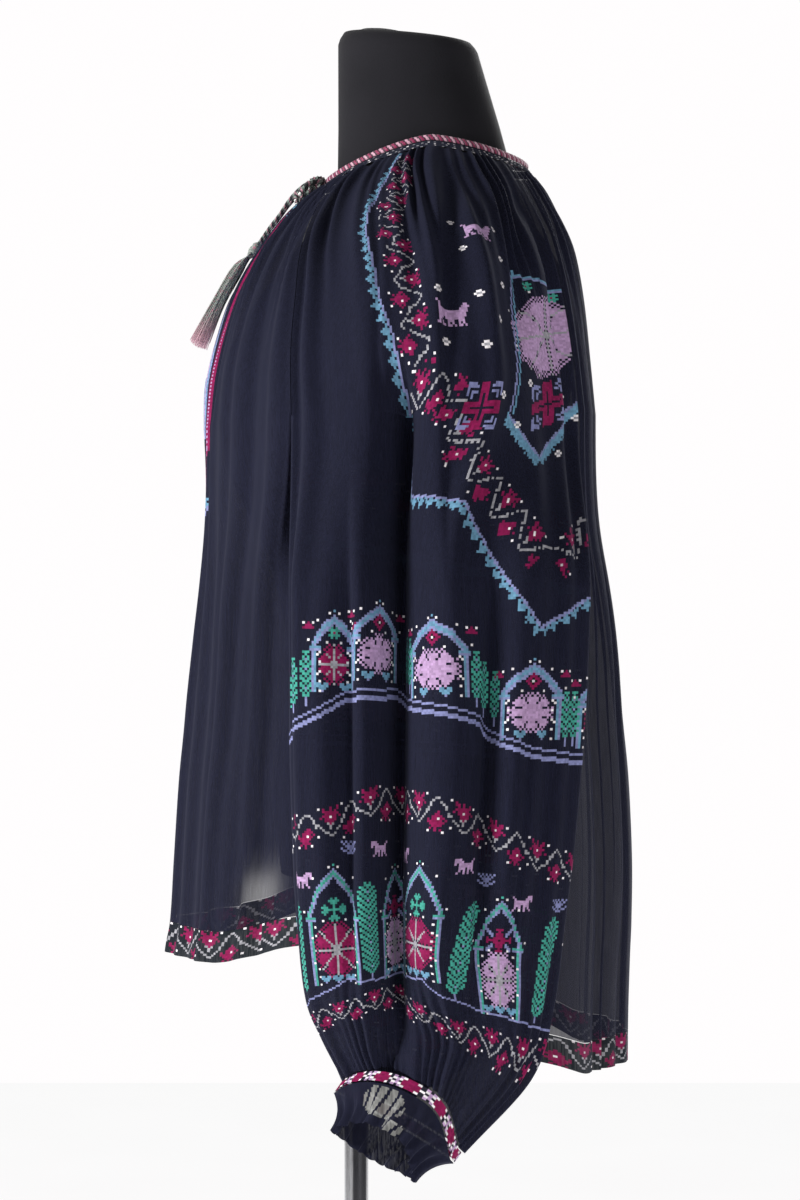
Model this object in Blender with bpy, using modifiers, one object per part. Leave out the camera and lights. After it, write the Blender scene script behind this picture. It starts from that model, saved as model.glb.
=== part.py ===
"""Raglan peasant blouse with balloon sleeves on a limbless dress form, on a pole with a round base."""
import bpy
import bmesh
import numpy as np
from mathutils import Vector

# Driving dimensions in metres. The front of the garment faces -Y, the wearer's left is +X.
WALL = 0.0012
SEAM = 0.0004
NECK_BAND = 0.045
SLIT_END = 0.84
SLIT_HALF = 0.0035
BINDING_WIDE = 0.005
BINDING_THICK = 0.0022
HEM_BAND = 0.023
FRONT_HEM_Z = 0.811
BACK_HEM_Z = 0.728
SIDE_HEM_RISE = 0.020
UNDERARM_Z = 1.206
VENT_TOP_Z = 0.90
CUFF_BAND = 0.008
FRILL_LONG = 0.031
FRILL_FLARE = 0.005
FRILL_SHORT = 1.2
FRILL_IN = 3.2
FRILL_WAVE = 0.0028
FRILL_WAVES = 18
NECK_GATHER = 0.0022
CUFF_GATHER = 0.0018
CORD_RADIUS = 0.0013
STRANDS = 12
STRAND_RADIUS = 0.0009
POLE_RADIUS = 0.0093
BASE_RADIUS = 0.165
BASE_HIGH = 0.009
FORM_BOTTOM_Z = 0.872
FORM_TOP_Z = 1.520
CUFF_AXIS = np.array((0.0, -0.579, -0.815))

# Yoke from the neck to the underarm, one row per level. Columns: level, front y, front z, side x, side y,
# side z, back y, back z, front seam angle, rear seam angle (degrees round from the centre front).
YOKE = (
    (0.00, -0.0245, 1.4060, 0.066, 0.058, 1.4340, 0.1340, 1.4180, 43, 137),
    (0.15, -0.0515, 1.3835, 0.100, 0.058, 1.4165, 0.1480, 1.3980, 44, 138),
    (0.30, -0.0730, 1.3560, 0.135, 0.058, 1.3960, 0.1610, 1.3710, 46, 140),
    (0.50, -0.0905, 1.3250, 0.176, 0.060, 1.3670, 0.1695, 1.3400, 48, 142),
    (0.67, -0.1020, 1.2940, 0.208, 0.062, 1.3300, 0.1755, 1.3060, 50, 144),
    (0.84, -0.1115, 1.2550, 0.233, 0.064, 1.2800, 0.1800, 1.2650, 51, 146),
    (1.00, -0.1155, 1.2160, 0.248, 0.066, 1.2220, 0.1840, 1.2250, 52, 147),
)

# Body of the blouse below the underarm, one row per height. Columns: z, front y, back y, half width at the side.
BODY = (
    (0.700, -0.1470, 0.2065, 0.196),
    (0.762, -0.1465, 0.2070, 0.195),
    (0.811, -0.1450, 0.2085, 0.194),
    (0.834, -0.1410, 0.2095, 0.193),
    (0.882, -0.1380, 0.2100, 0.190),
    (0.944, -0.1340, 0.2075, 0.187),
    (0.985, -0.1300, 0.2050, 0.184),
    (1.030, -0.1265, 0.2030, 0.180),
    (1.098, -0.1220, 0.1990, 0.176),
    (1.150, -0.1185, 0.1910, 0.172),
    (1.216, -0.1155, 0.1840, 0.168),
)

# Left sleeve below the underarm, one row per level. Columns: level, front edge y, front edge z, rear edge y,
# rear edge z, inner x, outer x, lift of the outer side.
SLEEVE = (
    (0.00, -0.0450, 1.2160, 0.1650, 1.2200, 0.175, 0.248, 0.000),
    (0.10, -0.0460, 1.1700, 0.1680, 1.1700, 0.187, 0.262, 0.000),
    (0.25, -0.0465, 1.0900, 0.1690, 1.0900, 0.194, 0.274, 0.000),
    (0.42, -0.0455, 1.0000, 0.1655, 1.0000, 0.199, 0.282, 0.000),
    (0.58, -0.0434, 0.9200, 0.1590, 0.9180, 0.204, 0.288, 0.000),
    (0.72, -0.0400, 0.8500, 0.1510, 0.8500, 0.207, 0.287, 0.002),
    (0.84, -0.0340, 0.7950, 0.1430, 0.7900, 0.210, 0.280, 0.008),
    (0.93, -0.0225, 0.7660, 0.1270, 0.7390, 0.214, 0.272, 0.018),
    (1.00, -0.0072, 0.7365, 0.0790, 0.6860, 0.218, 0.266, 0.030),
)

# Folds of a sleeve's outer side. Columns: place across the sleeve from -1 at its front to 1 at its rear,
# half width in the same measure, depth, first level, last level.
# The level runs 0 to 1 from neck to underarm and 1 to 2 from underarm to cuff.
OUTER_FOLDS = (
    (-0.26, 0.17, -0.026, 0.85, 2.00),
    (-0.02, 0.15, 0.007, 0.95, 1.95),
    (-0.62, 0.10, -0.009, 1.15, 1.85),
    (-0.82, 0.09, 0.004, 1.15, 1.90),
    (0.34, 0.09, -0.010, 1.20, 1.80),
    (0.52, 0.12, 0.005, 1.05, 1.80),
    (0.80, 0.08, -0.006, 0.60, 1.90),
    (-0.42, 0.09, 0.004, 0.15, 1.10),
    (-0.15, 0.08, -0.005, 0.10, 0.85),
    (0.12, 0.09, -0.006, 0.10, 1.05),
    (0.36, 0.09, 0.004, 0.15, 1.00),
    (0.60, 0.08, -0.005, 0.10, 0.95),
)

# Folds of a sleeve's inner side. Columns: angle round the sleeve, half width in degrees, depth, first and last level.
INNER_FOLDS = (
    (215, 13, -0.010, 1.15, 1.95),
    (258, 13, 0.005, 1.20, 1.90),
    (300, 13, -0.010, 1.15, 1.95),
    (338, 11, 0.004, 1.20, 1.90),
)

# Folds of the front and back panels. Columns: angle from the centre front, half width in degrees, depth,
# first level, last level. The level runs 0 to 1 from neck to underarm and 1 to 2 from underarm to hem.
PANEL_FOLDS = (
    (14, 5, -0.004, 0.10, 1.10),
    (26, 5, 0.003, 0.15, 1.50),
    (36, 5, -0.005, 0.20, 1.80),
    (20, 6, -0.006, 1.10, 2.20),
    (50, 7, -0.008, 1.20, 2.20),
    (66, 7, 0.003, 1.30, 2.20),
    (8, 5, 0.003, 1.30, 2.20),
    (172, 5, -0.003, 0.15, 1.60),
    (160, 6, 0.003, 0.20, 1.90),
    (150, 7, -0.007, 1.20, 2.20),
    (130, 7, 0.003, 1.30, 2.20),
    (112, 7, -0.005, 1.30, 2.20),
    (176, 5, 0.002, 1.30, 2.20),
)

# Dress form, one row per height. Columns: z, half width, front y, back y.
FORM = (
    (0.872, 0.156, -0.060, 0.150),
    (0.930, 0.164, -0.066, 0.158),
    (1.000, 0.148, -0.058, 0.140),
    (1.060, 0.127, -0.056, 0.122),
    (1.120, 0.132, -0.070, 0.132),
    (1.180, 0.145, -0.101, 0.153),
    (1.225, 0.152, -0.110, 0.166),
    (1.270, 0.158, -0.104, 0.173),
    (1.305, 0.165, -0.086, 0.171),
    (1.335, 0.171, -0.064, 0.163),
    (1.358, 0.160, -0.045, 0.151),
    (1.376, 0.124, -0.031, 0.138),
    (1.392, 0.080, -0.0200, 0.1290),
    (1.415, 0.056, -0.0155, 0.1225),
    (1.450, 0.054, -0.0150, 0.113),
    (1.490, 0.052, -0.0150, 0.101),
    (1.514, 0.052, -0.0150, 0.095),
    (1.520, 0.047, -0.0105, 0.0905),
)

# Tie cord on the wearer's left. Columns: x, height over the cloth, level down the yoke.
TIE = (
    (0.0100, 0.0085, 0.030),
    (0.0140, 0.0095, 0.060),
    (0.0155, 0.0090, 0.100),
    (0.0130, 0.0074, 0.140),
    (0.0100, 0.0056, 0.180),
    (0.0090, 0.0052, 0.220),
    (0.0090, 0.0050, 0.255),
    (0.0090, 0.0051, 0.290),
)

# Strands of a tassel. Columns: level down the yoke, height over the cloth, half spread sideways, half spread outwards.
STRAND_ROWS = (
    (0.42, 0.0088, 0.0055, 0.0036),
    (0.55, 0.0112, 0.0066, 0.0040),
    (0.66, 0.0124, 0.0071, 0.0045),
)

# Colours of the materials. Columns: red, green, blue, roughness, metallic.
NAVY = (0.020, 0.024, 0.050, 0.80, 0.0)
NAVY_BAND = (0.014, 0.018, 0.030, 0.80, 0.0)
MAGENTA = (0.36, 0.02, 0.10, 0.70, 0.0)
TIE_GREY = (0.22, 0.24, 0.22, 0.80, 0.0)
JERSEY = (0.010, 0.010, 0.012, 0.75, 0.0)
STEEL = (0.60, 0.60, 0.62, 0.25, 1.0)


def row(table, key):
    """One row of a table at any key, smoothly between its rows."""
    rows = np.array(table, float)
    keys = rows[:, 0]
    last = len(keys) - 1
    i = int(np.clip(np.searchsorted(keys, key) - 1, 0, last - 1))
    a, b = max(i - 1, 0), min(i + 2, last)
    span = keys[i + 1] - keys[i]
    t = float(np.clip((key - keys[i]) / span, 0, 1))
    m0 = (rows[i + 1] - rows[a]) / (keys[i + 1] - keys[a]) * span
    m1 = (rows[b] - rows[i]) / (keys[b] - keys[i]) * span
    h = 2 * t**3 - 3 * t**2
    return (h + 1) * rows[i] + (t**3 - 2 * t**2 + t) * m0 - h * rows[i + 1] + (t**3 - t**2) * m1


def step(t):
    """Smooth step from 0 to 1."""
    t = float(np.clip(t, 0, 1))
    return t * t * (3 - 2 * t)


def power(value, p):
    return float(np.sign(value) * abs(value) ** p)


def folds(table, angle, level):
    """Depth of the folds at an angle and level, each fading out at its two ends."""
    total = 0.0
    for centre, wide, depth, first, last in table:
        fade = step((level - first) / 0.25) * step((last - level) / 0.25 + (last >= 2.0))
        total += depth * fade * float(np.exp(-(((angle - centre) / wide) ** 2)))
    return total


def yoke_base(level, angle):
    """The yoke without folds: a cape over the shoulders."""
    _, yf, zf, xs, ys, zs, yb, zb, _, _ = row(YOKE, level)
    c = np.cos(np.radians(angle))
    s = np.sin(np.radians(angle))
    ye, ze = (yf, zf) if c > 0 else (yb, zb)
    return np.array((xs * s, ys + (ye - ys) * abs(c), zs + (ze - zs) * abs(c) ** 1.4))


def body_base(angle, z):
    """The body below the underarm without folds."""
    _, yf, yb, half = row(BODY, z)
    c = np.cos(np.radians(angle))
    s = np.sin(np.radians(angle))
    ye = yf if c > 0 else yb
    return np.array((half * power(s, 0.9), 0.050 + (ye - 0.050) * power(abs(c), 0.9), z))


def seam_angles(level):
    return row(YOKE, min(level, 1.0))[8:10]


def top_line(angle):
    """Top edge of the lower body: the yoke's last level, dipping under the arm between the two raglan seams."""
    front, rear = seam_angles(1.0)
    a = abs(angle)
    yoke = yoke_base(1.0, angle)
    if a <= front or a >= rear:
        return yoke, 1.0
    under = body_base(angle, UNDERARM_Z)
    away = (a - front) / (90 - front) if a <= 90 else (rear - a) / (rear - 90)
    keep = (1 - away) ** (2.25 if a <= 90 else 4.2)
    return under + (yoke - under) * keep, keep


def hem_z(angle):
    """Height of the hem: short front, long back, a little higher towards the side vents."""
    side = float(np.sin(np.radians(min(abs(angle), 90) if abs(angle) < 90 else 90 - (abs(angle) - 90))))
    base = FRONT_HEM_Z if abs(angle) < 90 else BACK_HEM_Z
    return base + SIDE_HEM_RISE * step((side - 0.6) / 0.4)


def panel_base(level, angle, longer=0.0):
    """A point of the front or back panel without folds, at a level from neck (0) to hem (2)."""
    if level < 1:
        return yoke_base(level, angle)
    top, keep = top_line(angle)
    down = level - 1
    z = top[2] + (hem_z(angle) + longer - top[2]) * down
    inner = body_base(angle, z)
    keep *= 1 - step(down / 0.4)
    return np.array((inner[0] + (top[0] - inner[0]) * keep, inner[1] + (top[1] - inner[1]) * keep, z))


def tube_base(level, around):
    """The left sleeve's tube without folds, at a level from underarm (0) to cuff (1)."""
    _, ya, za, yb, zb, xin, xout, lift = row(SLEEVE, level)
    c = power(np.cos(np.radians(around)), 0.85)
    s = power(np.sin(np.radians(around)), 0.85)
    mid = np.array(((xin + xout) / 2, (ya + yb) / 2, (za + zb) / 2))
    half = np.array((0.0, (yb - ya) / 2, (zb - za) / 2))
    point = mid - half * c + np.array(((xout - xin) / 2 * s, 0, 0))
    return point - CUFF_AXIS * lift * max(s, 0.0) ** (1.3 if around < 90 else 3.5)


def sleeve_base(level, around):
    """A point of the left sleeve without folds, at a level from neck (0) to cuff (2)."""
    front, rear = seam_angles(level)
    level = max(level, 1.0) if around > 180 else level
    if level <= 1 and around <= 180:
        return yoke_base(level, front + (rear - front) * around / 180)
    if around <= 180:
        start = yoke_base(1.0, front + (rear - front) * around / 180)
    else:
        start = top_line(rear + (front - rear) * (around - 180) / 180)[0]
        out = np.array((start[0], start[1] - 0.06, 0))
        apart = SEAM + 0.0008 * float(np.sin(np.radians(around - 180)))
        start = start + out / np.linalg.norm(out) * apart
    down = level - 1
    tube = tube_base(down, around)
    keep = 1 - step(down / 0.25)
    start = start - np.array((0, 0, 0.5 * down))
    return tube + (start - tube) * keep


def lifted(base, level, angle, amount, flip=1.0):
    """A point of a base surface moved along its outward normal."""
    p = base(level, angle)
    if abs(amount) < 1e-7:
        return p
    e = 0.004
    down = base(level + e, angle) - base(level - e if level > 0.01 else level, angle)
    turn = base(level, angle + 0.6) - base(level, angle - 0.6)
    n = np.cross(down, turn) * flip
    return p + n / np.linalg.norm(n) * amount


def neck_fade(level):
    """How strongly the neck gathers show at a level."""
    return (0.45 + 0.55 * step(level / 0.16)) * (1 - step((level - 0.35) / 0.55))


def panel_point(level, angle, alt=0.0, out=0.0):
    """A finished point of the front or back panel."""
    near_seam = 1.0
    if level <= 1.15:
        front, rear = seam_angles(level)
        seam = min(abs(abs(angle) - front), abs(abs(angle) - rear))
        near_seam = step(seam / 8) + (1 - step(seam / 8)) * step((level - 1) / 0.15)
    amount = folds(PANEL_FOLDS, abs(angle), level) * near_seam + alt * NECK_GATHER * neck_fade(level)
    amount += 0.005 * float(np.exp(-((angle / 5) ** 2))) * step((level - 0.3) / 0.3) * step((1.15 - level) / 0.3)
    flip = -1.0 if angle < 0 else 1.0
    mirrored = panel_mirror(level, abs(angle), amount + out)
    mirrored[0] *= flip
    return mirrored


def panel_mirror(level, angle, amount):
    return lifted(panel_base, level, angle, amount)


def sleeve_point(level, around, alt=0.0, alt_cuff=0.0):
    """A finished point of the left sleeve."""
    calm = 1.0
    if level <= 1.15:
        seam = min(abs(around), abs(around - 180), abs(around - 360))
        calm = step(seam / 14) + (1 - step(seam / 14)) * step((level - 1) / 0.15)
    if around > 180:
        calm *= step((level - 1) / 0.2)
    if around <= 180:
        _, ya, _, yb = row(SLEEVE, max(level - 1, 0.0))[:4]
        across = (sleeve_base(level, around)[1] - (ya + yb) / 2) / ((yb - ya) / 2)
        amount = folds(OUTER_FOLDS, across, level)
    else:
        amount = folds(INNER_FOLDS, around, level)
    amount = amount * calm + alt * NECK_GATHER * neck_fade(level)
    amount *= 1 - 0.85 * step((level - 1.75) / 0.25)
    amount += alt_cuff * CUFF_GATHER * step((level - 1.72) / 0.2)
    return lifted(sleeve_base, level, around, amount)


def material(name, look):
    m = bpy.data.materials.new(name)
    m.use_nodes = True
    s = m.node_tree.nodes["Principled BSDF"]
    s.inputs["Base Color"].default_value = (*look[:3], 1)
    s.inputs["Roughness"].default_value = look[3]
    s.inputs["Metallic"].default_value = look[4]
    return m


def add_object(name, bm, look, smooth=True):
    mesh = bpy.data.meshes.new(name)
    bm.to_mesh(mesh)
    bm.free()
    for p in mesh.polygons:
        p.use_smooth = smooth
    mesh.materials.append(material(name + "_mat", look))
    obj = bpy.data.objects.new(name, mesh)
    parts.objects.link(obj)
    return obj


def cloth(name, patches, look, mirror=False, wall=WALL, smooth=True):
    """Cloth from grids of points: the grids are joined where they share points, then given the wall inwards."""
    bm = bmesh.new()
    for grid in patches:
        verts = [[bm.verts.new((-p[0] if mirror else p[0], p[1], p[2])) for p in line] for line in grid]
        for a, b in zip(verts, verts[1:]):
            for i in range(len(a) - 1):
                quad = (a[i], b[i], b[i + 1], a[i + 1])
                bm.faces.new(quad[::-1] if mirror else quad)
    bmesh.ops.remove_doubles(bm, verts=bm.verts, dist=0.00002)
    bm.normal_update()
    obj = add_object(name, bm, look, smooth)
    solid = obj.modifiers.new("wall", "SOLIDIFY")
    solid.thickness = wall
    solid.offset = -1
    solid.use_quality_normals = True
    split = obj.modifiers.new("flat_faces", "TRIANGULATE")
    split.quad_method = "FIXED"
    return obj


def loft(name, rings, look, closed_path=False):
    """A solid from rings of points with flat ends."""
    bm = bmesh.new()
    loops = [[bm.verts.new(p) for p in ring] for ring in rings]
    pairs = list(zip(loops, loops[1:]))
    if closed_path:
        pairs.append((loops[-1], loops[0]))
    for a, b in pairs:
        n = len(a)
        for i in range(n):
            bm.faces.new((a[i], a[(i + 1) % n], b[(i + 1) % n], b[i]))
    if not closed_path:
        bm.faces.new(loops[0][::-1])
        bm.faces.new(loops[-1])
    bmesh.ops.recalc_face_normals(bm, faces=bm.faces)
    return add_object(name, bm, look)


YOKE_LEVELS = (0.050, 0.12, 0.24, 0.40, 0.58, 0.72, SLIT_END, 1.0)
FRONT_LEVELS = YOKE_LEVELS + (1.06, 1.14, 1.25, 1.38, 1.54, 1.70, 1.86)
BACK_LEVELS = YOKE_LEVELS + (1.05, 1.12, 1.22, 1.34, 1.48, 1.62, 1.76, 1.90)
SLEEVE_LEVELS = YOKE_LEVELS + (1.04, 1.10, 1.18, 1.28, 1.40, 1.52, 1.64, 1.75, 1.84, 1.92, 1.975)
FRONT_COLUMNS = 10
BACK_COLUMNS = 20
OUTER_COLUMNS = 24
UNDER_FRONT = 5
UNDER_BACK = 7


def alternate(index, count, edge=0.0):
    """Gather direction of a column: out and in by turns, with the edge columns apart."""
    if index in (0, count):
        return edge
    return 1.0 if index % 2 else -1.0


def seam_trim(level, angle):
    """Half the seam gap as an angle at a place on the garment."""
    p = panel_base(level, angle)
    return float(np.degrees(SEAM / np.hypot(p[0], p[1] - 0.055)))


def last_level(side):
    """Level at which a panel ends, so that the hem band fits below it."""
    top = 1.216 if side == "front" else 1.225
    base = FRONT_HEM_Z if side == "front" else BACK_HEM_Z
    return 2 - (HEM_BAND + 0.0003) / (top - base)


def vent(level, angle):
    """Opening of the side vent as an angle, growing below its top."""
    z = panel_base(level, angle)[2]
    return 3.0 * step((VENT_TOP_Z - z) / 0.12)


def slit(level):
    """Half the front slit as an angle."""
    if level >= SLIT_END - 1e-6:
        return 0.0
    p = panel_base(level, 0)
    wide = SLIT_HALF * (1 - step((level - 0.45) / 0.45)) + 0.0004
    return float(np.degrees(wide / (0.06 - p[1])))


def front_half(levels, sign):
    """One half of the front panel, from the centre out to the raglan seam."""
    grid = []
    for v in levels:
        edge = seam_angles(v)[0] - (seam_trim(v, seam_angles(v)[0]) if v <= 1 else 0)
        line = []
        for j in range(FRONT_COLUMNS + 1):
            a = slit(v) + (edge - slit(v)) * j / FRONT_COLUMNS
            line.append(panel_point(v, sign * a if a > 0 else 0.0, alternate(j, FRONT_COLUMNS)))
        grid.append(line)
    return grid


def under_arm(levels, start, stop, columns, sign, side):
    """The part of a panel under the arm, from the raglan seam's line round to the side seam."""
    grid = []
    for v in levels:
        line = []
        for j in range(columns + 1):
            a = start + (stop - start) * j / columns
            if j == columns:
                trim = seam_trim(v, 90) + vent(v, 90 - 0.01 if side == "front" else 90.01)
                a = 90 - trim if side == "front" else 90 + trim
            elif j == 0 and v <= 1:
                a = start - seam_trim(v, start) if side == "front" else start + seam_trim(v, start)
            line.append(panel_point(v, sign * a))
        grid.append(line)
    return grid


def oriented(grid, flip):
    return [line[::-1] for line in grid] if flip else grid


def front_panel():
    end = last_level("front")
    levels = FRONT_LEVELS + (end,)
    lower = [v for v in levels if v >= 1]
    seam = seam_angles(1)[0]
    patches = []
    for sign in (1, -1):
        patches.append(oriented(front_half(levels, sign), sign < 0))
        patches.append(oriented(under_arm(lower, seam, 90, UNDER_FRONT, sign, "front"), sign < 0))
    return cloth("front_panel", patches, NAVY)


def back_line(v, out=0.0):
    """One level of the back panel between the two rear raglan seams, from left to right."""
    seam = seam_angles(v)[1]
    edge = seam + (seam_trim(v, seam) if v <= 1 else 0)
    line = []
    for j in range(BACK_COLUMNS + 1):
        a = edge + (360 - 2 * edge) * j / BACK_COLUMNS
        angle = a if a <= 180 else a - 360
        line.append(panel_point(v, angle, alternate(j, BACK_COLUMNS), out))
    return line


def back_panel():
    end = last_level("back")
    levels = BACK_LEVELS + (end,)
    lower = [v for v in levels if v >= 1]
    seam = seam_angles(1)[1]
    patches = [[back_line(v) for v in levels]]
    for sign in (1, -1):
        grid = under_arm(lower, seam, 90, UNDER_BACK, sign, "back")
        patches.append(oriented(grid, sign > 0))
    return cloth("back_panel", patches, NAVY)


def hem_bands():
    """The turned-up hems, which carry on below the panels."""
    start = last_level("front") + 0.0009
    seam = seam_angles(1)[0]
    patches = []
    for sign in (1, -1):
        levels = (start, 2.0)
        patches.append(oriented(front_half(levels, sign), sign < 0))
        patches.append(oriented(under_arm(levels, seam, 90, UNDER_FRONT, sign, "front"), sign < 0))
    cloth("hem_band_front", patches, NAVY_BAND)
    start = last_level("back") + 0.0008
    seam = seam_angles(1)[1]
    patches = [[back_line(v) for v in (start, 2.0)]]
    for sign in (1, -1):
        grid = under_arm((start, 2.0), seam, 90, UNDER_BACK, sign, "back")
        patches.append(oriented(grid, sign > 0))
    cloth("hem_band_back", patches, NAVY_BAND)


def sleeve_patches():
    front, rear = seam_angles(1)
    outer = []
    for v in SLEEVE_LEVELS + (2.0,):
        a, b = seam_angles(v)
        line = []
        for j in range(OUTER_COLUMNS + 1):
            around = 180 * j / OUTER_COLUMNS
            if v <= 1 and j == 0:
                around = seam_trim(v, a) / (b - a) * 180
            elif v <= 1 and j == OUTER_COLUMNS:
                around = 180 - seam_trim(v, b) / (b - a) * 180
            neck = alternate(j, OUTER_COLUMNS)
            line.append(sleeve_point(v, around, neck, alternate(j, OUTER_COLUMNS, -1.0)))
        outer.append(line)
    angles = [rear + (90 - rear) * j / UNDER_BACK for j in range(UNDER_BACK)]
    angles += [90 + (front - 90) * j / UNDER_FRONT for j in range(UNDER_FRONT + 1)]
    inner = []
    for v in [s for s in SLEEVE_LEVELS if s >= 1] + [2.0]:
        line = []
        for j, a in enumerate(angles):
            around = 180 + 180 * (rear - a) / (rear - front)
            if v <= 1 and j in (0, len(angles) - 1):
                line.append(outer_edge(j == 0))
                continue
            line.append(sleeve_point(v, around, 0.0, alternate(j, len(angles) - 1, -1.0)))
        inner.append(line)
    for i, line in enumerate(inner):
        whole = outer[len(outer) - len(inner) + i]
        line[0] = whole[-1]
        line[-1] = whole[0]
    return [outer, inner]


def outer_edge(rear):
    return sleeve_point(1.0, 180.0 if rear else 0.0)


def cuff_ring(beyond, around, flare=0.0, wave=0.0):
    """A point of the cuff, some way beyond the sleeve's end; the frill closes in along the cuff's long way."""
    p = tube_base(1.0, around)
    ends = tube_base(1.0, 180.0) - tube_base(1.0, 0.0)
    mid = (tube_base(1.0, 0.0) + tube_base(1.0, 180.0)) / 2
    along = ends / np.linalg.norm(ends)
    out = p - mid
    out = out - CUFF_AXIS * float(np.dot(out, CUFF_AXIS))
    across = float(np.dot(out, along)) / (np.linalg.norm(ends) / 2)
    out = out / np.linalg.norm(out)
    down = CUFF_AXIS * (beyond - flare * FRILL_SHORT * across**2)
    return p + down + out * wave + np.array((out[0], 0, 0)) * flare - along * across * flare * FRILL_IN


def cuffs(side, mirror):
    """The elastic band and the gathered frill below it."""
    band = []
    for beyond in (0.0016, 0.0016 + CUFF_BAND):
        band.append([cuff_ring(beyond, 360 * j / 36) for j in range(37)])
    cloth("cuff_band_" + side, [band], NAVY_BAND, mirror)
    frill = []
    first = 0.0016 + CUFF_BAND + 0.0016
    for k in (0.0, 0.45, 1.0):
        line = []
        columns = FRILL_WAVES * 3
        for j in range(columns + 1):
            around = 360 * j / columns
            wave = FRILL_WAVE * k * (1, -0.5, -0.5)[j % 3]
            line.append(cuff_ring(first + FRILL_LONG * k, around, FRILL_FLARE * k, wave))
        frill.append(line)
    cloth("cuff_frill_" + side, [frill], NAVY, mirror)


def neck_band():
    """The shirred strip under the binding, open at the slit."""
    grid = []
    for v in (0.0, NECK_BAND):
        gap = np.degrees(0.0042 / (0.06 - panel_base(v, 0)[1]))
        line = []
        for j in range(53):
            a = gap + (360 - 2 * gap) * j / 52
            line.append(panel_point(v, a if a <= 180 else a - 360, 0.0))
        grid.append(line)
    return cloth("neck_band", [grid], NAVY_BAND)


def neck_frame(angle, level=0.0):
    """Point on the yoke with its upward and outward directions."""
    a = angle if angle <= 180 else angle - 360
    p = panel_point(level, a)
    up = p - panel_point(level + 0.05, a)
    up = up / np.linalg.norm(up) * 0.35 + np.array((0, 0, 0.9))
    up = up / np.linalg.norm(up)
    turn = panel_point(level, a + 0.5 if a + 0.5 <= 180 else a + 0.5 - 360) - panel_point(level, a - 0.5)
    out = np.cross(turn, up)
    return p, up, out / np.linalg.norm(out)


def neck_binding():
    """The narrow rolled binding on top of the neck band."""
    rings = []
    gap = float(np.degrees(0.0042 / 0.0825))
    for j in range(49):
        p, up, out = neck_frame(gap + (360 - 2 * gap) * j / 48)
        mid = p + up * (0.0006 + BINDING_WIDE / 2) - out * 0.0006
        ring = []
        for k in range(6):
            t = np.radians(60 * k + 30)
            ring.append(mid + up * BINDING_WIDE / 2 * np.sin(t) + out * BINDING_THICK / 2 * np.cos(t) * 1.15)
        rings.append(ring)
    return loft("neck_binding", rings, MAGENTA)


def tie_point(x, over, level):
    """A point over the front of the yoke."""
    angle = float(np.degrees(np.arcsin(x / row(YOKE, level)[3])))
    return panel_mirror(level, angle, over)


def tie(side, mirror):
    """A round tie cord from the end of the binding to its tassel."""
    sign = -1 if mirror else 1
    p, up, out = neck_frame(6.0)
    start = p + up * (0.0006 + BINDING_WIDE / 2) + out * (BINDING_THICK / 2 * 1.15 - 0.0002)
    keys = np.array([start, start + out * 0.0030 - up * 0.0004] + [tie_point(*r) for r in TIE])
    points = []
    for i in range(len(keys) - 1):
        a, b, c, d = keys[max(i - 1, 0)], keys[i], keys[i + 1], keys[min(i + 2, len(keys) - 1)]
        for t in (0.0, 0.5):
            points.append(0.5 * (2 * b + (c - a) * t + (2 * a - 5 * b + 4 * c - d) * t**2
                                 + (3 * b - a - 3 * c + d) * t**3))
    points.append(keys[-1])
    curve = bpy.data.curves.new("tie_curve", "CURVE")
    curve.dimensions = "3D"
    curve.bevel_depth = CORD_RADIUS
    curve.bevel_resolution = 2
    curve.use_fill_caps = True
    spline = curve.splines.new("POLY")
    spline.points.add(len(points) - 1)
    for q, p in zip(spline.points, points):
        q.co = (sign * p[0], p[1], p[2], 1)
    holder = bpy.data.objects.new("tie_holder", curve)
    parts.objects.link(holder)
    mesh = bpy.data.meshes.new_from_object(holder)
    bpy.data.objects.remove(holder)
    bm = bmesh.new()
    bm.from_mesh(mesh)
    bmesh.ops.remove_doubles(bm, verts=bm.verts, dist=0.00002)
    bmesh.ops.recalc_face_normals(bm, faces=bm.faces)
    add_object("tie_cord_" + side, bm, TIE_GREY)
    tassel("tassel_" + side, points[-1], points[-2], sign)


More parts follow.
